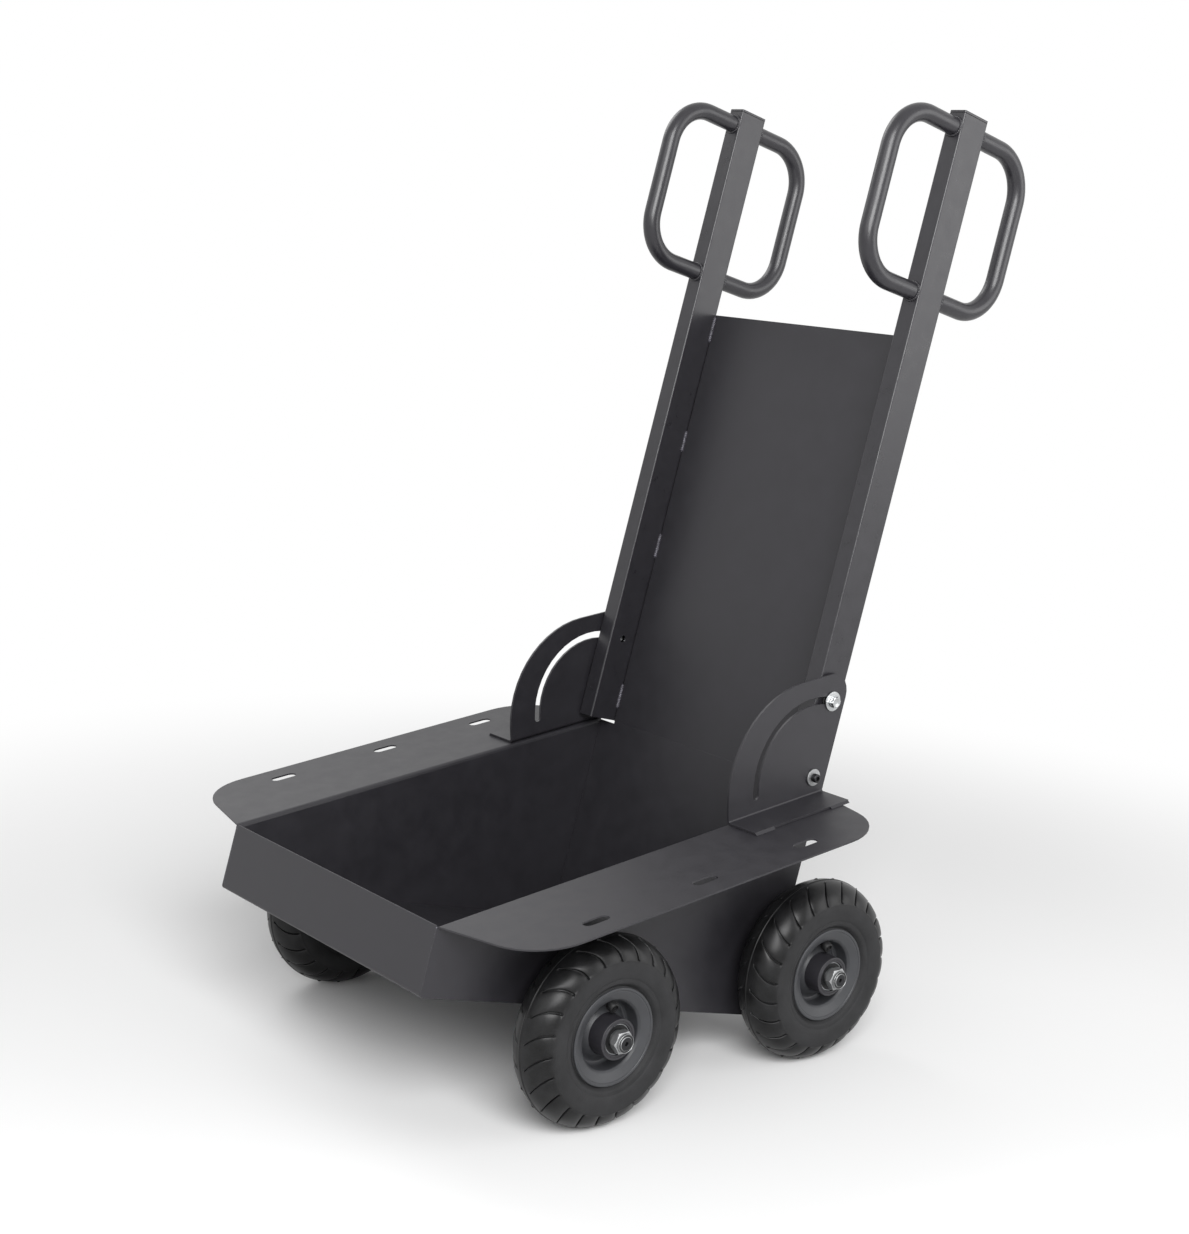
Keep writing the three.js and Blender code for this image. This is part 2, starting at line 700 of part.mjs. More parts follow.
for (const { word, sign } of sides) {
  trayGroup.add(mesh("side_" + word, onSide(side, sign), powderCoat));
  trayGroup.add(mesh("bracket_" + word, onSide(bracket, sign), powderCoat));
  trayGroup.add(mesh("upright_" + word, onSide(upright, sign), powderCoat));
  trayGroup.add(mesh("cap_" + word, onSide(cap, sign), powderCoat));
  trayGroup.add(mesh("grip_front_" + word, onSide(gripFront, sign), powderCoat));
  trayGroup.add(mesh("grip_rear_" + word, onSide(gripRear, sign), powderCoat));
  for (const [name, solid, x, up, finish] of fasteners) {
    const piece = mesh(name + "_" + word, onSide(solid, sign), finish);
    piece.position.set(sign * x, pivotAlong, pivotUp + up);
    trayGroup.add(piece);
  }
}

const panelHalf = uprightInner - seatGap;
trayGroup.add(
  mesh(
    "back_panel",
    box(
      new THREE.Vector3(-panelHalf, floorLength - sheet, uprightFoot),
      new THREE.Vector3(panelHalf, floorLength, uprightFoot + panelHeight)),
    powderCoat));

// Axles lie against the tray at the height of the wheels' middles: under the floor and behind the rear wall
const axleStand = axleRadius + seatGap;
const frontAxleAlong =
  (frontFloorHeight - wheelRadius - axleStand * Math.cos(trayLean)) / Math.sin(trayLean);
const rearAxleAlong = floorLength + axleStand;
const rearAxleUp =
  (wheelRadius - frontFloorHeight + rearAxleAlong * Math.sin(trayLean)) / Math.cos(trayLean);
const axles = [
  { word: "front", y: frontAxleAlong * Math.cos(trayLean) - axleStand * Math.sin(trayLean) },
  { word: "rear", y: rearAxleAlong * Math.cos(trayLean) + rearAxleUp * Math.sin(trayLean) },
];

const tyre = tyreSolid();
const innerTube = innerTubeSolid();
const rim = rimSolid();
const rimWithHole = rim.subtract(bar(stemRoot, stemBend, stemRadius + 2 * seatGap));
const hub = hubSolid();
const bearing = bearingSolid();
const axle = axleSolid();
const nutBore = (journalRadius + seatGap) / Math.cos(Math.PI / fastenerSides);
const axleNut = hexNut(axleNutAcrossFlats, axleNutHeight, nutBore);

for (const { word, y } of axles) {
  const axleBar = mesh("axle_" + word, axle, zinc);
  axleBar.position.set(0, y, wheelRadius);
  cart.add(axleBar);
  for (const { word: sideWord, sign } of sides) {
    const tag = word + "_" + sideWord;
    const wheel = new THREE.Group();
    wheel.position.set(sign * wheelMiddle, y, wheelRadius);
    wheel.rotation.z = sign > 0 ? 0 : Math.PI;
    const tyrePiece = mesh("tyre_" + tag, tyre, rubber);
    tyrePiece.rotation.z = word === "front" ? Math.PI : 0; // the front tyres are fitted the other way round
    wheel.add(tyrePiece);
    wheel.add(mesh("inner_tube_" + tag, innerTube, rubber));
    wheel.add(mesh("rim_outer_" + tag, rimWithHole, powderCoat));
    const rimInner = mesh("rim_inner_" + tag, rim, powderCoat);
    rimInner.rotation.z = Math.PI;
    wheel.add(rimInner);
    wheel.add(mesh("hub_" + tag, hub, powderCoat));
    for (const [end, place] of [["outer", 1], ["inner", -1]]) {
      const piece = mesh("bearing_" + end + "_" + tag, bearing, zinc);
      piece.position.x = (place * (hubLength - bearingWidth)) / 2;
      wheel.add(piece);
    }
    cart.add(wheel);
    const nut = mesh("axle_nut_" + tag, axleNut, zinc);
    nut.position.set(sign * (hubOuter + seatGap), y, wheelRadius);
    nut.rotation.z = sign > 0 ? 0 : Math.PI;
    cart.add(nut);
  }
}

// The origin lies on the ground under the middle of the cart's bounding box
cart.updateMatrixWorld(true);
const bounds = new THREE.Box3().setFromObject(cart, true);
cart.position.y = -(bounds.min.y + bounds.max.y) / 2;

export default cart;
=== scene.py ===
"""Looks of the camera cart: a powder-coated tray on four pneumatic wheels, with a push frame that folds.

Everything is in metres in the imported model's frame: X across the cart, +Y to the rear, +Z up.
"""

import math

import bmesh
import bpy
from mathutils import Matrix, Vector


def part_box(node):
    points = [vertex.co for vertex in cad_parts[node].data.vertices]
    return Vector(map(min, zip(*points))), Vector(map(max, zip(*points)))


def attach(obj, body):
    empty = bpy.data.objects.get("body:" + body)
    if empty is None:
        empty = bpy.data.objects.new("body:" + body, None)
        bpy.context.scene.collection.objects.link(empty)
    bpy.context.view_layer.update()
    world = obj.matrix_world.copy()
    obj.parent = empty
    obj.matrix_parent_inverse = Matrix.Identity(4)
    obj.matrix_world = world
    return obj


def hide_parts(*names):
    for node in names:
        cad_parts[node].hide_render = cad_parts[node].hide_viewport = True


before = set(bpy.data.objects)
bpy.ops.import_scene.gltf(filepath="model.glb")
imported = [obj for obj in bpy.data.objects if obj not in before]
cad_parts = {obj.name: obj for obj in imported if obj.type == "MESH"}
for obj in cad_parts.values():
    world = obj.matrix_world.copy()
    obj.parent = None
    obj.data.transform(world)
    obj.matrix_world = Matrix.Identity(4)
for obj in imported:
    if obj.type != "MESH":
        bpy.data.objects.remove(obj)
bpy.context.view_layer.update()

bl_info = {
    "name": "Camera cart",
    "version": (1, 0, 0),
    "blender": (4, 5, 0),
    "location": "3D View > Sidebar > Cart",
    "description": "Builds the finished pieces of a camera cart round its packed model",
    "category": "Object",
}

# Places of the tray's own frame: its floor is level there, and it leans back in the cart
TRAY_FRONT_Y = -0.4425684
TRAY_FRONT_HEIGHT = 0.176
TRAY_LEAN = math.radians(15)
FLOOR_LENGTH = 0.527
FRONT_WALL_HEIGHT = 0.078
TRAY_HALF = 0.2045
SHEET = 0.002
SEAT_GAP = 0.0003  # between pieces that touch
SAME_PLACE = 2e-6  # points nearer than this are one
FLAT_ANGLE = 0.6  # degrees; faces that differ by less are one flat face
EASED_ANGLE = 40  # degrees; edges sharper than this are rounded, blunter ones are smooth

# Push frame
UPRIGHT_FOOT = 0.281
UPRIGHT_LENGTH = 0.822
TUBE_DEPTH = 0.044
UPRIGHT_OUTER = 0.202
UPRIGHT_INNER = 0.177
PANEL_HEIGHT = 0.558
PANEL_FRONT = FLOOR_LENGTH - SHEET  # its face along the tray's floor
PANEL_BEND_RADIUS = 0.0016
PANEL_JOINT = 0.0001  # between the panel's bent edges and the uprights
PANEL_LAP = 0.0012  # how far the edges go on behind the uprights' rounded corners
PANEL_LAP_THICKNESS = 0.0004
PANEL_WELDS = ((0.017, 0.033), (0.225, 0.033), (0.371, 0.028), (0.521, 0.035))  # start, length
PANEL_WELD_SINK = 0.0004  # from the panel's and the upright's faces to the middle of the beads

# Grips
GRIP_HEIGHT = 0.200
GRIP_REACH = 0.098
GRIP_BEND_RADIUS = 0.053
GRIP_TOP_INSET = 0.017
GRIP_TUBE_RADIUS = 0.011
GRIP_SIDES = 40
GRIP_BEND_STEPS = 20
GRIP_ARM_STEPS = 4
GRIP_BAR_STEPS = 6
GRIP_RING_SHARE = 0.8  # of a full bead's width
GRIP_RING_OFFSET = 0.0006  # from the upright's face to the middle of the bead
GRIP_RING_SPREAD = 0.0002  # from the tube's surface to the middle of the bead

# Welds
BEAD_SIDES = 12
RIPPLE_STEPS = 6
SEAM_WIDTH_SHARE = 0.42  # of a full bead's width
SEAM_RIPPLE_SHARE = 1.5
SEAM_FOOT = 0.004  # start of a corner seam above the floor's underside
SEAM_HEAD = 0.001  # its end below the front wall's edge

# Axles and hubs
AXLE_RADIUS = 0.010
JOURNAL_RADIUS = 0.008
NUT_BORE_RADIUS = 0.0083
HUB_HALF_LENGTH = 0.032
HUB_RADIUS = 0.0235
HUB_SIDES = 96
BOLT_SIDES = 72
BEARING_BORE_RADIUS = 0.0083
BEARING_RADIUS = 0.0175
BEARING_HALF_WIDTH = 0.0055

# Wheels
WHEEL_RADIUS = 0.110
TYRE_HALF_WIDTH = 0.0325
TYRE_CROWN_HEIGHT = 0.032
TYRE_WALL = 0.006
LUG_COUNT = 23
GROOVE_SWEEP = math.radians(11.2)  # turn of a groove's outer end ahead of its inner end
BEAD_X = 0.0249
BEAD_RADIUS = 0.052
BEAD_WIDTH = 0.009
BEAD_ROUNDING = 0.0010
RIM_SIDES = 128
RIM_BOLT_DEGREES = (60, 180, 300)
RIM_BOLT_CIRCLE = 0.0345
TUBE_RING_RADIUS = 0.075
TUBE_SECTION_RADIUS = 0.018
STEM_ROUTE = (  # x, distance from the axle, radius of the stem
    (0.0050, 0.0585, 0.0050), (0.0075, 0.0515, 0.0050), (0.0105, 0.0430, 0.0050),
    (0.0125, 0.0392, 0.0049), (0.0150, 0.0372, 0.0046), (0.0180, 0.0358, 0.0042))
VALVE_AIM = (0.025, 0, 0.033)

# Patterns in the finishes
NOISE_ROUGHNESS = 0.55
GRAIN_SHARE = 0.6  # of the fine grain, added to the slow patches
PATTERN_RANGE = (0.5, 1.1)  # of that sum, spread over a finish's tones and roughness
TREAD_EDGE = (0.083, 0.090)  # distances from the axle between which a side wall's dust ends

# Fasteners
SHANK_RADIUS = 0.004
WASHER_BORE_RADIUS = 0.0044
WASHER_THICKNESS = 0.002
WASHER_EDGE = 0.0004
PIVOT_WASHER_RADIUS = 0.0105
CLAMP_WASHER_RADIUS = 0.0120
SPACER_RADIUS = 0.011

# Stage
LIGHTS = (  # name of its power, size of its disc, place
    ("key", 2.2, (2.6, -1.6, 2.2)),
    ("rear", 2.2, (2.5, 2.0, 1.3)),
    ("front", 2.0, (0.8, -2.6, 2.2)),
    ("fill", 2.0, (-2.3, -0.1, 2.6)),
)
LIGHTS_AIM = Vector((0, -0.05, 0.45))
FLOOR_RADIUS = 14
FLOOR_SIDES = 48
FLOOR_FADE = (0.75, 1.7)  # distances from the middle between which the floor turns white
CAMERA_CLIP = (0.05, 60)

SIDES = (("left", -1), ("right", 1))
ENDS = ("front", "rear")


def linear(hex_colour):
    """An sRGB colour such as #47484a as linear red, green and blue"""
    shares = [int(hex_colour[i : i + 2], 16) / 255 for i in (1, 3, 5)]
    return tuple(c / 12.92 if c <= 0.04045 else ((c + 0.055) / 1.055) ** 2.4 for c in shares)


def colour(label, description, hex_colour):
    return bpy.props.FloatVectorProperty(
        name=label, description=description, subtype="COLOR", size=3, min=0, max=1,
        default=linear(hex_colour))


def length(label, description, default):
    return bpy.props.FloatProperty(
        name=label, description=description, unit="LENGTH", subtype="DISTANCE", min=0, default=default,
        precision=5)


class CartColours(bpy.types.PropertyGroup):
    """Colours of the cart's finishes"""

    powder_coat: colour("Powder coat", "Sheet metal, tubes and hubs", "#262529")
    rim: colour("Rim enamel", "Pressed rims", "#333437")
    tyre: colour("Tyre", "Moulded rubber of the tyres", "#1d1d1e")
    butyl: colour("Inner tube", "Butyl rubber of the inner tubes, valves and bearing seals", "#121213")
    zinc: colour("Zinc plate", "Clamp bolts and their washers", "#bcbebf")
    dull_zinc: colour("Dull zinc", "Axles, axle nuts and pivot washers", "#a2a3a4")
    black_oxide: colour("Black oxide", "Pivot bolts and rim bolts", "#3b3b3d")
    bearing: colour("Bearing steel", "Ground rings of the ball bearings", "#a9abad")
    nylon: colour("Nylon", "Spacer washers between the uprights and their brackets", "#1f1f20")
    floor: colour("Floor", "Studio floor round the cart", "#f4f4f4")


class CartSizes(bpy.types.PropertyGroup):
    """Sizes of the cart's fine shapes"""

    edge: length("Sheet edge", "Radius on the edges of sheet, plate and tube ends", 0.00045)
    bead: length("Weld bead", "Width of the weld beads", 0.0042)
    ripple: length("Weld ripple", "Spacing of the ripples along a weld bead", 0.0024)
    groove_depth: length("Groove depth", "Depth of the tyre's cross grooves", 0.0030)
    groove_half: length("Groove half width", "Half the width of a cross groove at the tread", 0.0014)
    flash: length("Parting line", "Height of the mould's parting line on the tyre's crown", 0.0007)


class CartStage(bpy.types.PropertyGroup):
    """Camera of the photograph's view and strength of the studio lights"""

    target: bpy.props.FloatVectorProperty(
        name="Target", description="Point that the camera looks at", subtype="XYZ", unit="LENGTH",
        default=(0.0203, -0.07264, 0.5111))
    azimuth: bpy.props.FloatProperty(
        name="Azimuth", description="Turn of the view round the cart, from straight ahead to the right",
        subtype="ANGLE", default=math.radians(49.7))
    elevation: bpy.props.FloatProperty(
        name="Elevation", description="Height of the view above the horizon", subtype="ANGLE",
        default=math.radians(11.7))
    roll: bpy.props.FloatProperty(
        name="Roll", description="Turn of the view about its own axis", subtype="ANGLE",
        default=math.radians(2.7))
    distance: bpy.props.FloatProperty(
        name="Distance", description="From the camera to its target", unit="LENGTH", default=2.4645)
    lens: bpy.props.FloatProperty(
        name="Lens", description="Focal length over a sensor 24 mm high", subtype="DISTANCE_CAMERA",
        default=40.383)
    key: bpy.props.FloatProperty(
        name="Key light", description="Power of the light high in front on the right", subtype="POWER",
        default=128)
    rear: bpy.props.FloatProperty(
        name="Rear light", description="Power of the light behind on the right", subtype="POWER",
        default=29)
    front: bpy.props.FloatProperty(
        name="Front light", description="Power of the light straight in front", subtype="POWER", default=14)
    fill: bpy.props.FloatProperty(
        name="Fill light", description="Power of the light high on the left", subtype="POWER", default=24)
    ambient: bpy.props.FloatProperty(
        name="Ambient", description="Strength of the even light from all round", min=0, default=0.3)


# Materials


def add_node(tree, kind, inputs=None, **settings):
    """Adds a node with its settings. Each input is a value, or an output of another node to link to it."""
    made = tree.nodes.new(kind)
    for name, value in settings.items():
        setattr(made, name, value)
    for name, value in (inputs or {}).items():
        if isinstance(value, bpy.types.NodeSocket):
            tree.links.new(value, made.inputs[name])
        else:
            made.inputs[name].default_value = value
    return made


def new_material(name):
    """An empty material, its node tree and its output node"""
    material = bpy.data.materials.new(name)
    material.use_nodes = True
    material.node_tree.nodes.clear()
    output = add_node(material.node_tree, "ShaderNodeOutputMaterial")
    return material, material.node_tree, output


def per_metre(millimetres):
    """Scale of a noise whose features have that size, for coordinates in metres"""
    return 1000 / millimetres


def dielectric(ior, reflection):
    """Shader inputs of a finish that isn't a bare metal"""
    return {"Metallic": 0.0, "IOR": ior, "Specular IOR Level": reflection}


def surface(
        name, base, *, patches, tone_range, rough_range, grain, bump_depth, bump_strength, worn=None,
        **shader):
    """A finish with slow patches of tone, and a fine grain in its relief and in its gloss.

    Patches and grain are sizes in millimetres, the bump's depth is in metres. The real grains measure half
    a millimetre or less, and are drawn as coarse as they need to be to show. A worn band is a function that
    returns a mask, with the mask's shares in tone and in roughness.
    """
    material, tree, output = new_material(name)
    place = add_node(tree, "ShaderNodeTexCoord").outputs["Object"]
    slow, fine = (
        add_node(
            tree, "ShaderNodeTexNoise",
            {"Vector": place, "Scale": per_metre(size), "Detail": detail, "Roughness": NOISE_ROUGHNESS},
        ).outputs["Fac"]
        for size, detail in ((patches, 2.0), (grain, 3.0)))
    both = add_node(
        tree, "ShaderNodeMath", {0: fine, 1: GRAIN_SHARE, 2: slow}, operation="MULTIPLY_ADD").outputs["Value"]
    start, end = PATTERN_RANGE
    tone, gloss = (
        add_node(
            tree, "ShaderNodeMapRange",
            {"Value": both, "From Min": start, "From Max": end, "To Min": low, "To Max": high},
        ).outputs["Result"]
        for low, high in (tone_range, rough_range))
    if worn:
        mask, tone_share, gloss_share = worn
        band = mask(tree, place)
        tone, gloss = (
            add_node(
                tree, "ShaderNodeMath", {0: band, 1: share, 2: value}, operation="MULTIPLY_ADD",
            ).outputs["Value"]
            for value, share in ((tone, tone_share), (gloss, gloss_share)))
    toned = add_node(tree, "ShaderNodeVectorMath", {0: (*base,), 1: tone}, operation="MULTIPLY")
    relief = add_node(
        tree, "ShaderNodeBump", {"Height": fine, "Distance": bump_depth, "Strength": bump_strength})
    shaded = add_node(
        tree, "ShaderNodeBsdfPrincipled",
        {
            "Base Color": toned.outputs["Vector"],
            "Roughness": gloss,
            "Normal": relief.outputs["Normal"],
            **shader,
        })
    tree.links.new(shaded.outputs["BSDF"], output.inputs["Surface"])
    return material


def powder_coat(base):
    # Polyester powder, sprayed and baked: a satin skin with a fine pebbled grain that mottles its sheen.
    # The real grain is about 0.4 mm, drawn at 1.1 mm so that it shows.
    return surface(
        "baked_powder_coat", base, patches=24, tone_range=(0.88, 1.14), rough_range=(0.40, 0.50), grain=1.1,
        bump_depth=0.00004, bump_strength=0.25, **dielectric(1.5, 0.45))


def tube_coat(base):
    # The same powder on drawn tube, whose skin is smoother than the sheet's and is rubbed by hands: glossier.
    return surface(
        "tube_coat", base, patches=18, tone_range=(0.88, 1.14), rough_range=(0.26, 0.37), grain=1.1,
        bump_depth=0.00004, bump_strength=0.2, **dielectric(1.5, 0.5))


def coated_weld(base):
    # The same powder pooled over a weld bead, where it flows out smooth. Its tone is raised to as much as
    # eight times the coat's as a painted highlight. It stands in for the glints of the drops under it, so
    # that the bead looks lighter than the coat beside it.
    return surface(
        "coated_weld", base, patches=4, tone_range=(1.6, 8.0), rough_range=(0.16, 0.26), grain=1.1,
        bump_depth=0.00002, bump_strength=0.3, **dielectric(1.5, 0.7))


def away_from_axle(tree, place):
    """0 on a tyre's side wall and 1 on its tread, by the distance from the wheel's axis"""
    flat = add_node(
        tree, "ShaderNodeVectorMath", {0: place, 1: (0, 1, 1)}, operation="MULTIPLY").outputs["Vector"]
    out = add_node(tree, "ShaderNodeVectorMath", {0: flat}, operation="LENGTH").outputs["Value"]
    start, end = TREAD_EDGE
    return add_node(
        tree, "ShaderNodeMapRange", {"Value": out, "From Min": start, "From Max": end}).outputs["Result"]


def tyre_rubber(base):
    # Vulcanised rubber: matt and a little dusty on the side walls, as the mould's blasting leaves it, darker
    # and with a satin shine on the tread, which the ground wipes clean.
    return surface(
        "tyre_rubber", base, patches=22, tone_range=(0.95, 2.0), rough_range=(0.56, 0.68), grain=1.4,
        bump_depth=0.00005, bump_strength=0.3, worn=(away_from_axle, -0.8, -0.26), **dielectric(1.52, 0.24))


def rim_enamel(base):
    # Sprayed enamel on pressed steel: a shade lighter than the powder coat and dulled by handling.
    return surface(
        "rim_enamel", base, patches=16, tone_range=(0.86, 1.14), rough_range=(0.42, 0.54), grain=1.1,
        bump_depth=0.00003, bump_strength=0.3, **dielectric(1.5, 0.5))


def butyl_rubber(base):
    # Extruded butyl rubber: smooth and nearly black, with a dull shine.
    return surface(
        "butyl_rubber", base, patches=20, tone_range=(0.9, 1.1), rough_range=(0.45, 0.6), grain=2.0,
        bump_depth=0.00003, bump_strength=0.2, **dielectric(1.52, 0.3))


def zinc_plate(base):
    # Bright zinc plate on turned steel: a clear metal gleam with faint clouds in it.
    return surface(
        "zinc_plate", base, patches=9, tone_range=(0.84, 1.1), rough_range=(0.24, 0.36), grain=0.9,
        bump_depth=0.00002, bump_strength=0.25, Metallic=1.0)


def passivated_zinc(base):
    # Zinc plate gone dull outdoors: a soft grey gleam with cloudy patches, no clear reflections.
    return surface(
        "passivated_zinc", base, patches=6, tone_range=(0.8, 1.12), rough_range=(0.46, 0.6), grain=0.9,
        bump_depth=0.00002, bump_strength=0.25, Metallic=1.0)


def bearing_steel(base):
    # Ground chrome steel: a grey metal ring with an even, fine shine.
    return surface(
        "bearing_steel", base, patches=6, tone_range=(0.9, 1.05), rough_range=(0.26, 0.34), grain=0.7,
        bump_depth=0.00001, bump_strength=0.15, Metallic=1.0)


def black_oxide(base):
    # Steel blackened in a salt bath: a dark metal with an oily gleam on its edges.
    return surface(
        "black_oxide", base, patches=8, tone_range=(0.8, 1.15), rough_range=(0.32, 0.46), grain=0.9,
        bump_depth=0.00002, bump_strength=0.25, Metallic=1.0)


def moulded_nylon(base):
    # Moulded nylon with carbon black: a dull black that gleams only at a slant.
    return surface(
        "moulded_nylon", base, patches=12, tone_range=(0.92, 1.08), rough_range=(0.42, 0.55), grain=1.0,
        bump_depth=0.00002, bump_strength=0.2, **dielectric(1.53, 0.5))


FINISHES = {  # maker, name of its colour, slot of the record
    "baked_powder_coat": (powder_coat, "powder_coat", "powder_coat"),
    "tube_coat": (tube_coat, "powder_coat", "powder_coat"),
    "coated_weld": (coated_weld, "powder_coat", "powder_coat"),
    "tyre_rubber": (tyre_rubber, "tyre", "tyre"),
    "rim_enamel": (rim_enamel, "rim", "powder_coat"),
    "butyl_rubber": (butyl_rubber, "butyl", "tube"),
    "zinc_plate": (zinc_plate, "zinc", "zinc_steel"),
    "passivated_zinc": (passivated_zinc, "dull_zinc", "zinc_steel"),
    "bearing_steel": (bearing_steel, "bearing", "zinc_steel"),
    "black_oxide": (black_oxide, "black_oxide", "black_steel"),
    "moulded_nylon": (moulded_nylon, "nylon", "nylon"),
}


def finish(name):
    """The material of that name, made the first time it is asked for"""
    found = bpy.data.materials.get(name)
    if found:
        return found
    make, property_name, _slot = FINISHES[name]
    return make(getattr(bpy.context.scene.cart_colours, property_name))


# Shapes


def tray_place(x, along, up):
    """A point of the tray's frame in the cart: along the floor to the rear, and up from it"""
    return Vector((
        x,
        TRAY_FRONT_Y + along * math.cos(TRAY_LEAN) + up * math.sin(TRAY_LEAN),
        TRAY_FRONT_HEIGHT - along * math.sin(TRAY_LEAN) + up * math.cos(TRAY_LEAN),
    ))


def centre(node):
    low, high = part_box(node)
    return (low + high) / 2


def mesh_of(name, vertices, faces):
    mesh = bpy.data.meshes.new(name)
    mesh.from_pydata([tuple(v) for v in vertices], [], faces)
    mesh.validate()
    return mesh


def smooth(mesh, degrees=EASED_ANGLE):
    """Smooth shading that stops at edges sharper than the given angle"""
    mesh.polygons.foreach_set("use_smooth", [True] * len(mesh.polygons))
    mesh.set_sharp_from_angle(angle=math.radians(degrees))
    return mesh


def outward(mesh, merged=0):
    """Turns the faces of a closed mesh to its outside, after joining points nearer than a distance"""
    work = bmesh.new()
    work.from_mesh(mesh)
    if merged:
        bmesh.ops.remove_doubles(work, verts=work.verts, dist=merged)
    bmesh.ops.recalc_face_normals(work, faces=work.faces)
    work.to_mesh(mesh)
    work.free()
    return mesh


def skin(rings, count, closed):
    """Faces from ring to ring of points, the same number in each; closed joins the last ring to the first"""
    faces = []
    for i in range(rings if closed else rings - 1):
        j = (i + 1) % rings
        for k in range(count):
            n = (k + 1) % count
            faces.append((i * count + k, i * count + n, j * count + n, j * count + k))
    return faces


def end_faces(rings, count):
    """The two faces that close the first and the last ring of an open skin"""
    last = (rings - 1) * count
    return [tuple(reversed(range(count))), tuple(last + k for k in range(count))]


def piece(name, mesh, finish_names, body, nodes=(), matrix=None):
    """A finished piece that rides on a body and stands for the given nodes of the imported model"""
    made = bpy.data.objects.new(name, mesh)
    bpy.context.scene.collection.objects.link(made)
    names = [finish_names] if isinstance(finish_names, str) else finish_names
    if not mesh.materials:
        for finish_name in names:
            mesh.materials.append(finish(finish_name))
    if matrix is not None:
        made.matrix_world = matrix
    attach(made, body)
    if nodes:
        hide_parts(*nodes)
    return made


def eased(node, body, finish_name):
    """A piece from a node's own faces, with its edges rounded as paint and deburring leave them"""
    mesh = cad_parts[node].data.copy()
    mesh.materials.clear()
    mesh.name = "eased_" + node
    work = bmesh.new()
    work.from_mesh(mesh)
    bmesh.ops.remove_doubles(work, verts=work.verts, dist=SAME_PLACE)
    bmesh.ops.dissolve_limit(
        work, angle_limit=math.radians(FLAT_ANGLE), verts=work.verts, edges=work.edges)
    work.to_mesh(mesh)
    work.free()
    made = piece("eased_" + node, smooth(mesh), finish_name, body, [node])
    bevel = made.modifiers.new("Edges", "BEVEL")
    bevel.width = bpy.context.scene.cart_sizes.edge
    bevel.segments = 3
    bevel.limit_method = "ANGLE"
    bevel.angle_limit = math.radians(EASED_ANGLE)
    bevel.use_clamp_overlap = True
    weighted = made.modifiers.new("Flat faces", "WEIGHTED_NORMAL")
    weighted.keep_sharp = True
    weighted.weight = 100
    return made


def filleted(corners, steps=6):
    """A closed outline whose corners (x, y, radius) are rounded"""
    points = []
    for i, (x, y, radius) in enumerate(corners):
        here = Vector((x, y))
        if not radius:
            points.append((x, y))
            continue
        back = (Vector(corners[i - 1][:2]) - here).normalized()
        ahead = (Vector(corners[(i + 1) % len(corners)][:2]) - here).normalized()
        half = back.angle(ahead) / 2
        middle = here + (back + ahead).normalized() * (radius / math.sin(half))
        start = here + back * (radius / math.tan(half)) - middle
        end = here + ahead * (radius / math.tan(half)) - middle
        turn = start.angle_signed(end)
        for k in range(steps + 1):
            angle = -turn * k / steps
            across = Vector((
                start.x * math.cos(angle) - start.y * math.sin(angle),
                start.x * math.sin(angle) + start.y * math.cos(angle)))
            points.append(tuple(middle + across))
    return points


def turned(name, outline, sides, limit=None):
    """A closed outline of (x, radius) points turned about the X axis. A limit caps the radius by angle."""
    on_axis = 1e-7
    vertices = []
    for i in range(sides):
        angle = 2 * math.pi * i / sides
        for x, radius in outline:
            held = min(radius, limit(angle)) if limit else radius
            vertices.append((x, held * math.cos(angle), held * math.sin(angle)))
    faces = [
        face for face in skin(sides, len(outline), True)
        if max(math.hypot(*vertices[corner][1:]) for corner in face) >= on_axis]
    return smooth(outward(mesh_of(name, vertices, faces), on_axis))


def from_axis(face):
    """Distance of a face's middle from the X axis"""
    return math.hypot(face.center.y, face.center.z)


def half_turn(wanted):
    """A half turn about the vertical axis, or no turn"""
    return Matrix.Rotation(math.pi if wanted else 0, 4, "Z")


def seated(node, sign, out=0.0):
    """Place of a turned piece with its +X to the cart's outside: on a node's inner face, or that far out"""
    low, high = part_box(node)
    seat = (low.x if sign > 0 else high.x) + sign * out
    return Matrix.Translation((seat, (low.y + high.y) / 2, (low.z + high.z) / 2)) @ half_turn(sign < 0)


def hexagon(across_flats):
    """Radius of a hexagon's outline by angle"""
    def radius(angle):
        turn = (angle % (math.pi / 3)) - math.pi / 6
        return across_flats / 2 / math.cos(turn)
    return radius


def swept(name, path, sections):
    """Rings of points carried along a path. Each section holds the radius of its ring by side."""
    count = len(sections[0])
    vertices = []
    side = None
    for i, point in enumerate(path):
        ahead = path[min(i + 1, len(path) - 1)] - path[max(i - 1, 0)]
        ahead.normalize()
        if side is None:
            side = ahead.orthogonal().normalized()
        side = (side - ahead * side.dot(ahead)).normalized()
        up = ahead.cross(side)
        for k, radius in enumerate(sections[i]):
            angle = 2 * math.pi * k / count
            vertices.append(point + (side * math.cos(angle) + up * math.sin(angle)) * radius)
    faces = skin(len(path), count, False) + end_faces(len(path), count)
    return smooth(mesh_of(name, vertices, faces), 60)


def joined(name, meshes):
    """Several meshes as one, each with its own material numbers"""
    work = bmesh.new()
    for mesh in meshes:
        work.from_mesh(mesh)
    made = bpy.data.meshes.new(name)
    work.to_mesh(made)
    work.free()
    return made


def weld_bead(start, end, width, ripple):
    """A bead of overlapping drops along a line, thinner at its ends"""
    span = (end - start).length
    steps = max(8, round(span / ripple * RIPPLE_STEPS))
    path = []
    sections = []
    for i in range(steps + 1):
        share = i / steps
        run = share * span
        drop = 1 + 0.2 * math.cos(2 * math.pi * run / ripple)
        taper = min(1.0, min(run, span - run) / (width * 0.55) + 0.25)
        path.append(start.lerp(end, share))
        sections.append([width / 2 * drop * taper] * BEAD_SIDES)
    return swept("weld_bead", path, sections)


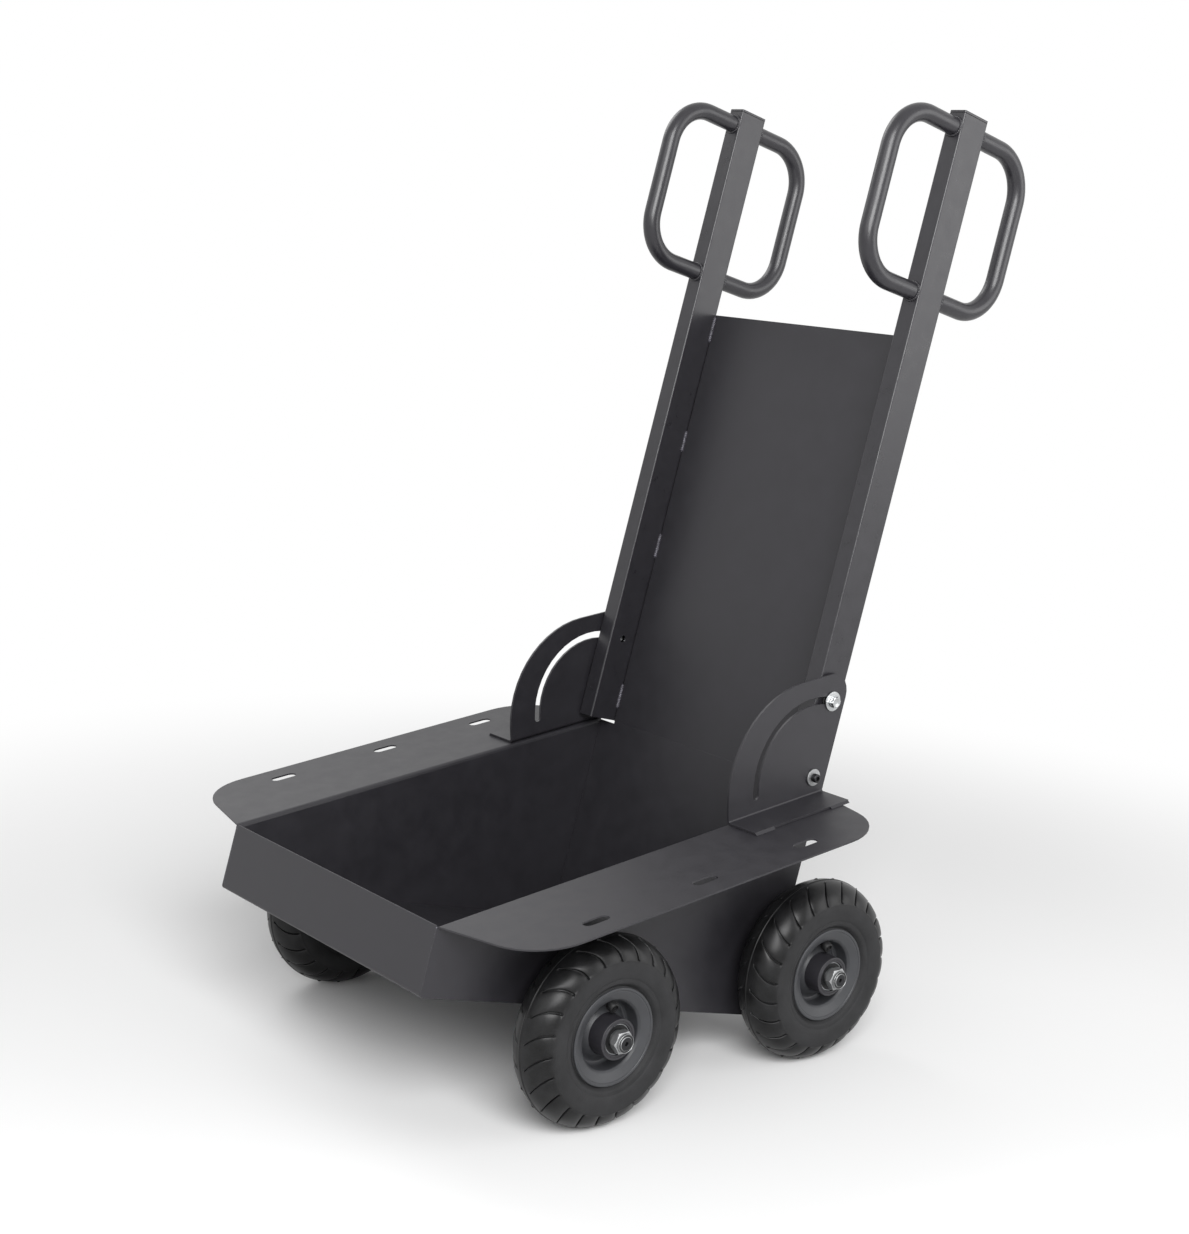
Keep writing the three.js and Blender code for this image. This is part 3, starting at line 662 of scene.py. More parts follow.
def weld_ring(middle, axis, radius, width, ripple):
    """A bead that closes on itself round a tube"""
    drops = round(2 * math.pi * radius / ripple)
    count = drops * RIPPLE_STEPS
    side = axis.orthogonal().normalized()
    up = axis.cross(side)
    vertices = []
    for i in range(count):
        angle = 2 * math.pi * i / count
        out = side * math.cos(angle) + up * math.sin(angle)
        drop = width / 2 * (1 + 0.1 * math.cos(angle * drops))
        for k in range(BEAD_SIDES):
            turn = 2 * math.pi * k / BEAD_SIDES
            vertices.append(middle + out * (radius + drop * math.cos(turn)) + axis * (drop * math.sin(turn)))
    return smooth(mesh_of("weld_ring", vertices, skin(count, BEAD_SIDES, True)), 60)


# Tyre. Angles run round its section in degrees, from 0 at the crown to 90 at the widest place.

FLASH_EDGE = (1.4, 3.2)  # the parting line falls off
GROOVE_START = (11.5, 16)
GROOVE_END = (68, 74)
SHOULDER = (20, 60)  # the grooves grow wider and deeper
SWEEP_START = 8
NUB = 13.2
NUB_HEIGHT = 0.0014
NUB_RADIUS = 0.0010
NUB_STRETCH = 1.5
DEGREE_LENGTH = 0.00056  # of one degree of the section
WALL_STEP = (73.2, 75.2)  # the side wall lies a little lower than the tread
WALL_STEP_HEIGHT = 0.0002
RIM_RIDGE = (121, 4, 0.0010)  # angle, width in degrees, height
RIM_HOLLOW = (112, 2, -0.0006)


def sweep_share(degrees):
    """How far a cross groove has swept round the tyre at an angle of the section, as a share of 1"""
    end = GROOVE_END[1]
    rest = (end - min(max(abs(degrees), SWEEP_START), end)) / (end - SWEEP_START)
    return 1 - rest * rest


def ramp(value, start, end):
    share = min(max((value - start) / (end - start), 0), 1)
    return share * share * (3 - 2 * share)


def bell(offset, width):
    return math.exp(-((offset / width) ** 2))


def tyre_relief(degrees, across, sizes):
    """Height of the tyre's surface over its plain section, in metres.

    degrees runs round the section from the crown; across is the distance from the nearest groove's middle.
    """
    t = abs(degrees)
    height = -sizes.flash * ramp(t, *FLASH_EDGE)
    # Cross groove, and the tread that falls towards it from both sides
    tread = ramp(t, *GROOVE_START) * (1 - ramp(t, *GROOVE_END))
    shoulder = ramp(t, *SHOULDER)
    growth = 0.7 + 0.6 * shoulder
    half = sizes.groove_half * growth
    groove = 1 - ramp(abs(across), half * 0.5, half)
    height -= sizes.groove_depth * growth * tread * groove
    beyond = max(abs(across) - half, 0)
    fall = 0.0003 + 0.0010 * shoulder
    fall_length = 0.002 + 0.0022 * shoulder
    height -= fall * tread * math.exp(-beyond / fall_length) * (1 - groove)
    # Moulded nub beside the head of each groove
    nub_along = (t - NUB) * DEGREE_LENGTH / NUB_STRETCH
    height += NUB_HEIGHT * bell(math.hypot(nub_along, across - NUB_RADIUS), NUB_RADIUS)
    # Side wall: a step down from the tread, and the ridge and hollow beside the rim
    height -= WALL_STEP_HEIGHT * ramp(t, *WALL_STEP)
    for angle, width, rise in (RIM_RIDGE, RIM_HOLLOW):
        height += rise * bell(t - angle, width)
    return height


# Rings of points over the section, and points beside each groove's middle in metres: close where the
# relief bends
SECTION_DEGREES = (
    0, 1.4, 2, 2.6, 3.2, 5, 8, 10, 11.2, 12.2, 13.2, 14.2, 15.4, 17, 19.5, 22, 25, 29, 33, 37, 41, 45, 49,
    53, 57, 60.5, 63.5, 66, 68, 69.5, 71, 72.4, 73.3, 74.2, 75.2, 77, 81, 86, 91, 96, 101, 105, 108, 110,
    111.5, 113, 114.5, 116.5, 118.5, 121, 123.5, 126, 129, 132)
CAVITY_DEGREES = (120, 95, 70, 45, 20, 0)
ACROSS = (
    0, 0.0004, 0.0007, 0.00095, 0.0012, 0.0015, 0.0018, 0.0023, 0.0032, 0.0046, 0.0066, 0.0095, 0.0125)


def tyre_mesh(sizes):
    """Rings of points round the axle, from the crown over each shoulder to the beads and the cavity"""
    pitch = 2 * math.pi / LUG_COUNT
    offsets = [*(-a for a in reversed(ACROSS[1:])), *ACROSS, WHEEL_RADIUS * pitch / 2]
    middle = WHEEL_RADIUS - TYRE_CROWN_HEIGHT
    places = [(pitch * lug, across) for lug in range(LUG_COUNT) for across in offsets]

    def outer_ring(sign, degrees):
        turn = math.radians(degrees)
        flat = Vector((TYRE_HALF_WIDTH * math.sin(turn), TYRE_CROWN_HEIGHT * math.cos(turn)))
        out = Vector((math.sin(turn) / TYRE_HALF_WIDTH, math.cos(turn) / TYRE_CROWN_HEIGHT)).normalized()
        points = []
        for lug_angle, across in places:
            place = flat + out * tyre_relief(degrees, across, sizes)
            angle = lug_angle + across / WHEEL_RADIUS + GROOVE_SWEEP * sweep_share(degrees)
            points.append((sign * place.x, middle + place.y, angle))
        return points

    def plain_ring(x, radius, share=1.0):
        swept_by = GROOVE_SWEEP * share
        return [(x, radius, lug_angle + across / WHEEL_RADIUS + swept_by) for lug_angle, across in places]

    def half(sign):
        rings = [outer_ring(sign, degrees) for degrees in SECTION_DEGREES[1:]]
        inner_x = BEAD_X - BEAD_WIDTH
        for x, radius in (
            (BEAD_X, BEAD_RADIUS + 4 * BEAD_ROUNDING), (BEAD_X, BEAD_RADIUS + BEAD_ROUNDING),
            (BEAD_X - 0.3 * BEAD_ROUNDING, BEAD_RADIUS + 0.3 * BEAD_ROUNDING),
            (BEAD_X - BEAD_ROUNDING, BEAD_RADIUS), (inner_x + BEAD_ROUNDING, BEAD_RADIUS),
            (inner_x + 0.3 * BEAD_ROUNDING, BEAD_RADIUS + 0.3 * BEAD_ROUNDING),
            (inner_x, BEAD_RADIUS + BEAD_ROUNDING)):
            rings.append(plain_ring(sign * x, radius))
        for degrees in CAVITY_DEGREES[:-1]:
            turn = math.radians(degrees)
            rings.append(plain_ring(
                sign * (TYRE_HALF_WIDTH - TYRE_WALL) * math.sin(turn),
                middle + (TYRE_CROWN_HEIGHT - TYRE_WALL) * math.cos(turn), sweep_share(degrees)))
        return rings

    inside = plain_ring(0, middle + TYRE_CROWN_HEIGHT - TYRE_WALL, 0)
    rings = [outer_ring(1, 0), *half(1), inside, *reversed(half(-1))]
    vertices = [
        (x, radius * math.cos(angle), radius * math.sin(angle))
        for points in rings for x, radius, angle in points]
    mesh = mesh_of("tyre", vertices, skin(len(rings), len(places), True))
    return smooth(outward(mesh), 70)


# Places of the wheels

WHEELS = [end + "_" + side for end in ENDS for side, _sign in SIDES]

# Turn of each tyre's tread about its axle at rest in degrees, so that its grooves lie as in the photograph
TREAD_TURNS = {"front_right": 4.3, "rear_right": 7.0, "front_left": 11.0, "rear_left": 2.0}


def wheel_matrix(tag):
    """Place of a wheel's own frame: its middle on the axle, its +X to the outside of the cart"""
    return Matrix.Translation(centre("hub_" + tag)) @ half_turn(tag.endswith("left"))


# Operators


class CART_OT_stage(bpy.types.Operator):
    """Floor, even light, soft lights and the camera of the photograph's view"""

    bl_idname = "cart.stage"
    bl_label = "Stage"
    bl_options = {"REGISTER", "UNDO"}

    def execute(self, context):
        stage = context.scene.cart_stage
        context.scene.view_settings.view_transform = "Standard"
        self.camera(context, stage)
        self.floor(context)
        self.world(context, stage)
        for name, size, place in LIGHTS:
            self.light(context, name + "_light", getattr(stage, name), size, Vector(place))
        return {"FINISHED"}

    def camera(self, context, stage):
        across = Vector((math.cos(stage.azimuth), math.sin(stage.azimuth), 0))
        ahead = Vector((
            -math.sin(stage.azimuth) * math.cos(stage.elevation),
            math.cos(stage.azimuth) * math.cos(stage.elevation),
            -math.sin(stage.elevation)))
        above = across.cross(ahead)
        right = across * math.cos(stage.roll) + above * math.sin(stage.roll)
        up = above * math.cos(stage.roll) - across * math.sin(stage.roll)
        data = bpy.data.cameras.new("camera")
        data.sensor_fit = "VERTICAL"
        data.sensor_height = 24
        data.lens = stage.lens
        data.clip_start, data.clip_end = CAMERA_CLIP
        made = bpy.data.objects.new("camera", data)
        context.scene.collection.objects.link(made)
        turn = Matrix((right, up, -ahead)).transposed().to_4x4()
        made.matrix_world = Matrix.Translation(Vector(stage.target) - ahead * stage.distance) @ turn
        context.scene.camera = made

    def floor(self, context):
        vertices = [(0, 0, 0)]
        for i in range(FLOOR_SIDES):
            angle = 2 * math.pi * i / FLOOR_SIDES
            vertices.append((FLOOR_RADIUS * math.cos(angle), FLOOR_RADIUS * math.sin(angle), 0))
        faces = [(0, 1 + i, 1 + (i + 1) % FLOOR_SIDES) for i in range(FLOOR_SIDES)]
        made = bpy.data.objects.new("floor", mesh_of("floor", vertices, faces))
        context.scene.collection.objects.link(made)
        made.data.materials.append(self.floor_paint(context.scene.cart_colours.floor))

    def floor_paint(self, base):
        # Matt emulsion on a studio floor: it takes the cart's soft shadow and fades into the white round it.
        material, tree, output = new_material("studio_floor")
        place = add_node(tree, "ShaderNodeTexCoord").outputs["Object"]
        grain = add_node(
            tree, "ShaderNodeTexNoise",
            {"Vector": place, "Scale": per_metre(4), "Detail": 2.0, "Roughness": NOISE_ROUGHNESS})
        relief = add_node(
            tree, "ShaderNodeBump", {"Height": grain.outputs["Fac"], "Distance": 0.0001, "Strength": 0.1})
        paint = add_node(
            tree, "ShaderNodeBsdfPrincipled",
            {
                "Base Color": (*base, 1),
                "Roughness": 0.9,
                "Specular IOR Level": 0.0,
                "Normal": relief.outputs["Normal"],
            })
        glow = add_node(tree, "ShaderNodeEmission", {"Color": (1, 1, 1, 1), "Strength": 1.0})
        away = add_node(tree, "ShaderNodeVectorMath", {0: place}, operation="LENGTH").outputs["Value"]
        start, end = FLOOR_FADE
        far = add_node(
            tree, "ShaderNodeMapRange",
            {"Value": away, "From Min": start, "From Max": end}, interpolation_type="SMOOTHSTEP")
        share = add_node(
            tree, "ShaderNodeMath", {0: far.outputs["Result"], 1: seen_ray(tree)}, operation="MULTIPLY")
        mixed = add_node(
            tree, "ShaderNodeMixShader",
            {0: share.outputs["Value"], 1: paint.outputs["BSDF"], 2: glow.outputs["Emission"]})
        tree.links.new(mixed.outputs["Shader"], output.inputs["Surface"])
        return material

    def world(self, context, stage):
        world = bpy.data.worlds.new("studio")
        world.use_nodes = True
        tree = world.node_tree
        tree.nodes.clear()
        even = add_node(tree, "ShaderNodeBackground", {"Color": (1, 1, 1, 1), "Strength": stage.ambient})
        white = add_node(tree, "ShaderNodeBackground", {"Color": (1, 1, 1, 1), "Strength": 1.0})
        mixed = add_node(
            tree, "ShaderNodeMixShader",
            {0: seen_ray(tree), 1: even.outputs["Background"], 2: white.outputs["Background"]})
        add_node(tree, "ShaderNodeOutputWorld", {"Surface": mixed.outputs["Shader"]})
        context.scene.world = world

    def light(self, context, name, power, size, place):
        data = bpy.data.lights.new(name, "AREA")
        data.shape = "DISK"
        data.size = size
        data.energy = power
        made = bpy.data.objects.new(name, data)
        context.scene.collection.objects.link(made)
        turn = (LIGHTS_AIM - place).to_track_quat("-Z", "Y").to_matrix().to_4x4()
        made.matrix_world = Matrix.Translation(place) @ turn


def seen_ray(tree):
    """1 on rays from the camera, in mirrors and through clear material, otherwise 0"""
    path = add_node(tree, "ShaderNodeLightPath")
    first = add_node(
        tree, "ShaderNodeMath",
        {0: path.outputs["Is Camera Ray"], 1: path.outputs["Is Glossy Ray"]}, operation="MAXIMUM")
    both = add_node(
        tree, "ShaderNodeMath",
        {0: first.outputs["Value"], 1: path.outputs["Is Transmission Ray"]}, operation="MAXIMUM")
    return both.outputs["Value"]


class CART_OT_tray(bpy.types.Operator):
    """Pan and side sheets of the tray, with the weld seams at its front corners"""

    bl_idname = "cart.tray"
    bl_label = "Tray"
    bl_options = {"REGISTER", "UNDO"}

    def execute(self, context):
        sizes = context.scene.cart_sizes
        for node in ("tray_pan", "side_left", "side_right"):
            eased(node, "chassis", "baked_powder_coat")
        for word, sign in SIDES:
            x = sign * (TRAY_HALF - SHEET)
            foot = tray_place(x, SHEET / 2, SEAM_FOOT)
            head = tray_place(x, SHEET / 2, FRONT_WALL_HEIGHT - SEAM_HEAD)
            mesh = weld_bead(foot, head, sizes.bead * SEAM_WIDTH_SHARE, sizes.ripple * SEAM_RIPPLE_SHARE)
            piece("corner_seam_" + word, mesh, "coated_weld", "chassis")
        return {"FINISHED"}


class CART_OT_brackets(bpy.types.Operator):
    """Slotted quadrant brackets, each folded out to a foot that is welded on the wing"""

    bl_idname = "cart.brackets"
    bl_label = "Brackets"
    bl_options = {"REGISTER", "UNDO"}

    def execute(self, context):
        for word, _sign in SIDES:
            eased("bracket_" + word, "chassis", "baked_powder_coat")
        return {"FINISHED"}


class CART_OT_push_frame(bpy.types.Operator):
    """Uprights, their caps, the back panel and the stitch welds between them"""

    bl_idname = "cart.push_frame"
    bl_label = "Push frame"
    bl_options = {"REGISTER", "UNDO"}

    def execute(self, context):
        sizes = context.scene.cart_sizes
        self.panel()
        for word, _sign in SIDES:
            eased("upright_" + word, "back_frame", "tube_coat")
            eased("cap_" + word, "back_frame", "tube_coat")
        for word, sign in SIDES:
            x = sign * (UPRIGHT_INNER - PANEL_WELD_SINK)
            beads = []
            for start, run in PANEL_WELDS:
                foot = tray_place(x, PANEL_FRONT - PANEL_WELD_SINK, UPRIGHT_FOOT + start)
                head = tray_place(x, PANEL_FRONT - PANEL_WELD_SINK, UPRIGHT_FOOT + start + run)
                beads.append(weld_bead(foot, head, sizes.bead, sizes.ripple))
            piece("panel_welds_" + word, joined("panel_welds", beads), "coated_weld", "back_frame")
        return {"FINISHED"}

    def panel(self):
        """A sheet whose long edges are bent back, so that a dark line stays between it and the uprights"""
        half = UPRIGHT_INNER - PANEL_JOINT
        edge = UPRIGHT_INNER + PANEL_LAP
        seam = FLOOR_LENGTH - PANEL_LAP_THICKNESS
        section = filleted([
            (-edge, FLOOR_LENGTH, 0), (-edge, seam, 0), (-half, seam, 0),
            (-half, PANEL_FRONT, PANEL_BEND_RADIUS), (half, PANEL_FRONT, PANEL_BEND_RADIUS),
            (half, seam, 0), (edge, seam, 0), (edge, FLOOR_LENGTH, 0)])
        foot = UPRIGHT_FOOT - SEAT_GAP
        head = UPRIGHT_FOOT + PANEL_HEIGHT
        points = [tray_place(x, along, up) for up in (foot, head) for x, along in section]
        faces = end_faces(2, len(section)) + skin(2, len(section), False)
        mesh = smooth(outward(mesh_of("panel", points, faces)))
        piece("panel_folded", mesh, "baked_powder_coat", "back_frame", ["back_panel"])


class CART_OT_grips(bpy.types.Operator):
    """Round tube grips bent into a U, with the weld ring at each end"""

    bl_idname = "cart.grips"
    bl_label = "Grips"
    bl_options = {"REGISTER", "UNDO"}

    def execute(self, context):
        sizes = context.scene.cart_sizes
        middle = (UPRIGHT_INNER + UPRIGHT_OUTER) / 2
        upper = UPRIGHT_FOOT + UPRIGHT_LENGTH - GRIP_TOP_INSET
        lower = upper - GRIP_HEIGHT
        axis = (tray_place(0, 1, 0) - tray_place(0, 0, 0)).normalized()
        ring_radius = GRIP_TUBE_RADIUS + GRIP_RING_SPREAD
        for side, sign in SIDES:
            for end, face, direction in (
                ("front", FLOOR_LENGTH - TUBE_DEPTH, -1), ("rear", FLOOR_LENGTH, 1)):
                path = [
                    tray_place(sign * middle, along, up)
                    for along, up in self.centre_line(face, direction, lower, upper)]
                tube = swept("grip", path, [[GRIP_TUBE_RADIUS] * GRIP_SIDES] * len(path))
                rings = []
                for up in (lower, upper):
                    spot = tray_place(sign * middle, face + direction * GRIP_RING_OFFSET, up)
                    rings.append(
                        weld_ring(spot, axis, ring_radius, sizes.bead * GRIP_RING_SHARE, sizes.ripple))
                tag = end + "_" + side
                piece("grip_" + tag + "_tube", tube, "tube_coat", "back_frame", ["grip_" + tag])
                piece("grip_" + tag + "_welds", joined("grip_welds", rings), "tube_coat", "back_frame")
        return {"FINISHED"}

    def centre_line(self, face, direction, lower, upper):
        """Points (along, up) of a U, from one arm's end at the upright's face to the other's"""
        bar = face + direction * GRIP_REACH
        bend = bar - direction * GRIP_BEND_RADIUS
        half = [(face + direction * SEAT_GAP, lower)]
        half += [(face + (bend - face) * k / GRIP_ARM_STEPS, lower) for k in range(1, GRIP_ARM_STEPS)]
        for k in range(GRIP_BEND_STEPS + 1):
            angle = math.pi / 2 * k / GRIP_BEND_STEPS
            half.append((
                bend + direction * GRIP_BEND_RADIUS * math.sin(angle),
                lower + GRIP_BEND_RADIUS * (1 - math.cos(angle))))
        low, high = lower + GRIP_BEND_RADIUS, upper - GRIP_BEND_RADIUS
        straight = [(bar, low + (high - low) * k / GRIP_BAR_STEPS) for k in range(1, GRIP_BAR_STEPS)]
        return [*half, *straight, *((along, lower + upper - up) for along, up in reversed(half))]


class CART_OT_axles(bpy.types.Operator):
    """Axle bars with their turned ends, and their hexagon nuts"""

    bl_idname = "cart.axles"
    bl_label = "Axles"
    bl_options = {"REGISTER", "UNDO"}

    def execute(self, context):
        for end in ENDS:
            low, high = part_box("axle_" + end)
            place = Matrix.Translation((0, (low.y + high.y) / 2, (low.z + high.z) / 2))
            shoulder = centre("hub_" + end + "_right").x - HUB_HALF_LENGTH - SEAT_GAP
            piece(
                "axle_bar_" + end, self.bar(shoulder, high.x), ["passivated_zinc", "black_oxide"], "chassis",
                ["axle_" + end], place)
        nut = self.lock_nut()
        for tag in WHEELS:
            node = "axle_nut_" + tag
            piece(
                "axle_nut_turned_" + tag, nut, ["passivated_zinc", "moulded_nylon"], "chassis", [node],
                seated(node, -1 if tag.endswith("left") else 1))
        return {"FINISHED"}

    def bar(self, shoulder, reach):
        """A round bar with a thinner journal at each end, and the lathe's centre holes in its ends"""
        hole_radius = 0.0026
        cone_radius = 0.0018
        half = filleted([
            (shoulder, AXLE_RADIUS, 0), (shoulder, JOURNAL_RADIUS, 0), (reach, JOURNAL_RADIUS, 0.0009),
            (reach, hole_radius, 0.0003), (reach - 0.0030, cone_radius, 0), (reach - 0.0036, 0, 0)], 4)
        mesh = turned("axle", half + [(-x, radius) for x, radius in reversed(half)], 64)
        for face in mesh.polygons:
            if abs(face.center.x) > reach - 0.004 and from_axis(face) < JOURNAL_RADIUS - 0.0005:
                face.material_index = 1
        return mesh

    def lock_nut(self):
        """A nut on a spacer washer, with its corners chamfered and a nylon ring crimped into its collar"""
        washer = 0.0104
        washer_top = 0.0027
        nut_top = 0.0122
        collar_top = 0.0157
        flat = 0.0120
        corner = 0.01386
        chamfer_start = flat - 0.0005
        chamfer_slope = 0.58
        collar = 0.0110
        crimp = 0.0104
        ring = 0.0099
        ring_top = collar_top - 0.0014
        cuts = [chamfer_start + (corner - chamfer_start) * k / 5 for k in range(6)]
        below = [(washer_top + (radius - chamfer_start) * chamfer_slope, radius) for radius in cuts]
        above = [(nut_top - (radius - chamfer_start) * chamfer_slope, radius) for radius in reversed(cuts)]
        outline = [
            (0, NUT_BORE_RADIUS), (0, washer), (washer_top, washer), *below, *above,
            (nut_top, collar), (nut_top + 0.0004, collar - 0.0001), (collar_top - 0.0016, collar - 0.0002),
            (collar_top - 0.0008, collar - 0.0003), (collar_top - 0.0005, crimp),
            (collar_top - 0.0008, crimp - 0.0003), (ring_top, ring), (ring_top, NUT_BORE_RADIUS)]
        mesh = turned("lock_nut", outline, BOLT_SIDES, hexagon(2 * flat))
        mesh.set_sharp_from_angle(angle=math.radians(25))
        for face in mesh.polygons:
            if from_axis(face) < ring + 0.0001 and face.center.x > ring_top - 0.0002:
                face.material_index = 1
        return mesh


class CART_OT_tyres(bpy.types.Operator):
    """Tyres with curved cross grooves, and the inner tubes with their valve stems"""

    bl_idname = "cart.tyres"
    bl_label = "Tyres"
    bl_options = {"REGISTER", "UNDO"}

    def execute(self, context):
        mesh = tyre_mesh(context.scene.cart_sizes)
        tube = self.inner_tube()
        for tag in WHEELS:
            matrix = wheel_matrix(tag)
            # The front tyres are mounted the other way round, so their grooves sweep back
            reversed_tread = tag.startswith("front")
            turn = TREAD_TURNS[tag]
            if reversed_tread != tag.endswith("left"):
                turn = 180 - turn
            tread = matrix @ half_turn(reversed_tread) @ Matrix.Rotation(math.radians(turn), 4, "X")
            body = "wheel_" + tag
            piece("tyre_moulded_" + tag, mesh, "tyre_rubber", body, ["tyre_" + tag], tread)
            piece("inner_tube_smooth_" + tag, tube, "butyl_rubber", body, ["inner_tube_" + tag], matrix)
        return {"FINISHED"}

    def inner_tube(self):
        steps = 24
        section = []
        for i in range(steps):
            angle = 2 * math.pi * i / steps
            out = TUBE_RING_RADIUS + TUBE_SECTION_RADIUS * math.sin(angle)
            section.append((TUBE_SECTION_RADIUS * math.cos(angle), out))
        torus = turned("inner_tube", section, 64)
        path = [Vector((x, 0, out)) for x, out, _radius in STEM_ROUTE]
        stem = swept("stem", path, [[radius] * 20 for _x, _out, radius in STEM_ROUTE])
        return joined("inner_tube_and_valve", [torus, stem, self.valve_cap(path[-1])])

    def valve_cap(self, foot):
        """A screw cap on the stem's end, with a rounded rim and a hollow in its top"""
        stem = 0.0043
        outer = 0.0064
        top = 0.0085
        cap = turned("valve_cap", [
            (-0.0010, 0), (-0.0010, stem - 0.0003), (0, stem), (0.0003, outer - 0.0004), (0.0010, outer),
            (top - 0.0009, outer - 0.0002), (top - 0.0001, outer - 0.0009), (top, 0.0043),
            (top - 0.0019, 0.0040), (top - 0.0021, 0.0016), (top - 0.0007, 0.0014), (top - 0.0006, 0)], 32)
        axis = (Vector(VALVE_AIM) - foot).normalized()
        turn = Vector((1, 0, 0)).rotation_difference(axis).to_matrix().to_4x4()
        cap.transform(Matrix.Translation(foot) @ turn)
        return cap


class CART_OT_rims(bpy.types.Operator):
    """Pressed rim halves, hub tubes and the bolts that hold the halves together"""

    bl_idname = "cart.rims"
    bl_label = "Rims and hubs"
    bl_options = {"REGISTER", "UNDO"}

    def execute(self, context):
        half = self.rim_half()
        hub = self.hub()
        bolts = self.bolts()
        for tag in WHEELS:
            matrix = wheel_matrix(tag)
            body = "wheel_" + tag
            inward = matrix @ half_turn(True)
            piece("rim_pressed_outer_" + tag, half, "rim_enamel", body, ["rim_outer_" + tag], matrix)
            piece("rim_pressed_inner_" + tag, half, "rim_enamel", body, ["rim_inner_" + tag], inward)
            piece("hub_tube_" + tag, hub, "baked_powder_coat", body, ["hub_" + tag], matrix)
            piece("rim_bolts_" + tag, bolts, "black_oxide", body, (), matrix)
        return {"FINISHED"}

    def rim_half(self):
        """One pressed half: cone at the hub, web, well, bead seat and flange, and back on the outer face"""
        joint = 0.00015
        face = joint + 0.002
        cone_radius = 0.0240
        cone_rise = 0.0100
        web_radius = 0.0330
        well_radius = 0.0400
        seat_radius = 0.0510
        flange = 0.0252
        flange_face = flange + 0.0020
        flange_radius = 0.0560
        lip = 0.0263
        slope_foot = 0.0226
        outline = filleted([  # x, distance from the axle, radius of the corner
            (joint + cone_rise, cone_radius, 0), (joint, web_radius, 0.0050), (joint, well_radius, 0.0010),
            (0.0080, well_radius, 0.0035), (0.0140, seat_radius, 0.0020), (flange, seat_radius, 0.0008),
            (flange, flange_radius, 0.0006), (flange_face, flange_radius, 0.0010),
            (flange_face, 0.0533, 0.0009), (lip, 0.0527, 0.0004), (lip, 0.0514, 0.0020),
            (slope_foot, 0.0422, 0.0022), (0.0200, 0.0394, 0.0030), (0.0050, 0.0384, 0.0030),
            (face, 0.0360, 0.0020), (face, web_radius, 0.0060), (face + cone_rise, cone_radius, 0)], 7)
        return turned("rim_half", outline, RIM_SIDES)

    def hub(self):
        """A tube for the bearings, with a thin step turned into its outer end"""
        end = HUB_HALF_LENGTH + 0.002
        bore = 0.01782
        step = 0.0206
        outline = filleted([
            (-HUB_HALF_LENGTH, bore, 0.0003), (-HUB_HALF_LENGTH, HUB_RADIUS, 0.0014),
            (end, HUB_RADIUS, 0.0010), (end, step, 0.0003), (end - 0.0006, step - 0.0004, 0),
            (end - 0.0002, step - 0.0008, 0.0003), (end - 0.0002, bore, 0.0004)])
        return turned("hub_tube", outline, HUB_SIDES)

    def bolts(self):
        """Hexagon heads of the bolts, seen in the rim's recess"""
        seat = 0.00225
        washer_face = 0.0028
        chamfer = 0.0062
        top = 0.0068
        made = []
        for degrees in RIM_BOLT_DEGREES:
            head = turned("rim_bolt", [
                (seat, 0), (seat, 0.0056), (washer_face, 0.0056), (washer_face, 0.0049), (chamfer, 0.0049),
                (top, 0.0043), (top, 0)], 36, hexagon(0.009))
            angle = math.radians(degrees)
            head.transform(Matrix.Translation((
                0, RIM_BOLT_CIRCLE * math.cos(angle), RIM_BOLT_CIRCLE * math.sin(angle))))
            made.append(head)
        return joined("rim_bolts", made)


class CART_OT_bearings(bpy.types.Operator):
    """Sealed ball bearings in the ends of the hubs"""

    bl_idname = "cart.bearings"
    bl_label = "Bearings"
    bl_options = {"REGISTER", "UNDO"}

    def execute(self, context):
        mesh = self.bearing()
        for tag in WHEELS:
            for end in ("outer", "inner"):
                node = "bearing_" + end + "_" + tag
                turn = half_turn(centre(node).x < centre("hub_" + tag).x)
                piece(
                    "bearing_sealed_" + end + "_" + tag, mesh, ["bearing_steel", "butyl_rubber"],
                    "wheel_" + tag, [node], Matrix.Translation(centre(node)) @ turn)
        return {"FINISHED"}

    def bearing(self):
        """Two rings with the rubber seal between them, a little below their faces"""
        reach = BEARING_HALF_WIDTH
        edge = 0.0004
        inner_ring = 0.0104
        outer_ring = 0.0165
        groove = reach - 0.0007
        seal = reach - 0.0004
        outline = [
            (-reach, BEARING_BORE_RADIUS + edge), (-reach, BEARING_RADIUS - edge),
            (-reach + edge, BEARING_RADIUS), (reach - edge, BEARING_RADIUS),
            (reach, BEARING_RADIUS - edge), (reach, outer_ring), (groove, outer_ring - 0.0002),
            (groove, outer_ring - 0.0006), (seal, outer_ring - 0.0009), (seal, inner_ring + 0.0008),
            (groove, inner_ring + 0.0005), (groove, inner_ring + 0.0002), (reach, inner_ring),
            (reach, BEARING_BORE_RADIUS + edge), (reach - edge, BEARING_BORE_RADIUS),
            (-reach + edge, BEARING_BORE_RADIUS)]
        mesh = turned("bearing", outline, HUB_SIDES)
        for face in mesh.polygons:
            if inner_ring + 0.0002 < from_axis(face) < outer_ring - 0.0001 and face.center.x > 0:
                face.material_index = 1
        return mesh


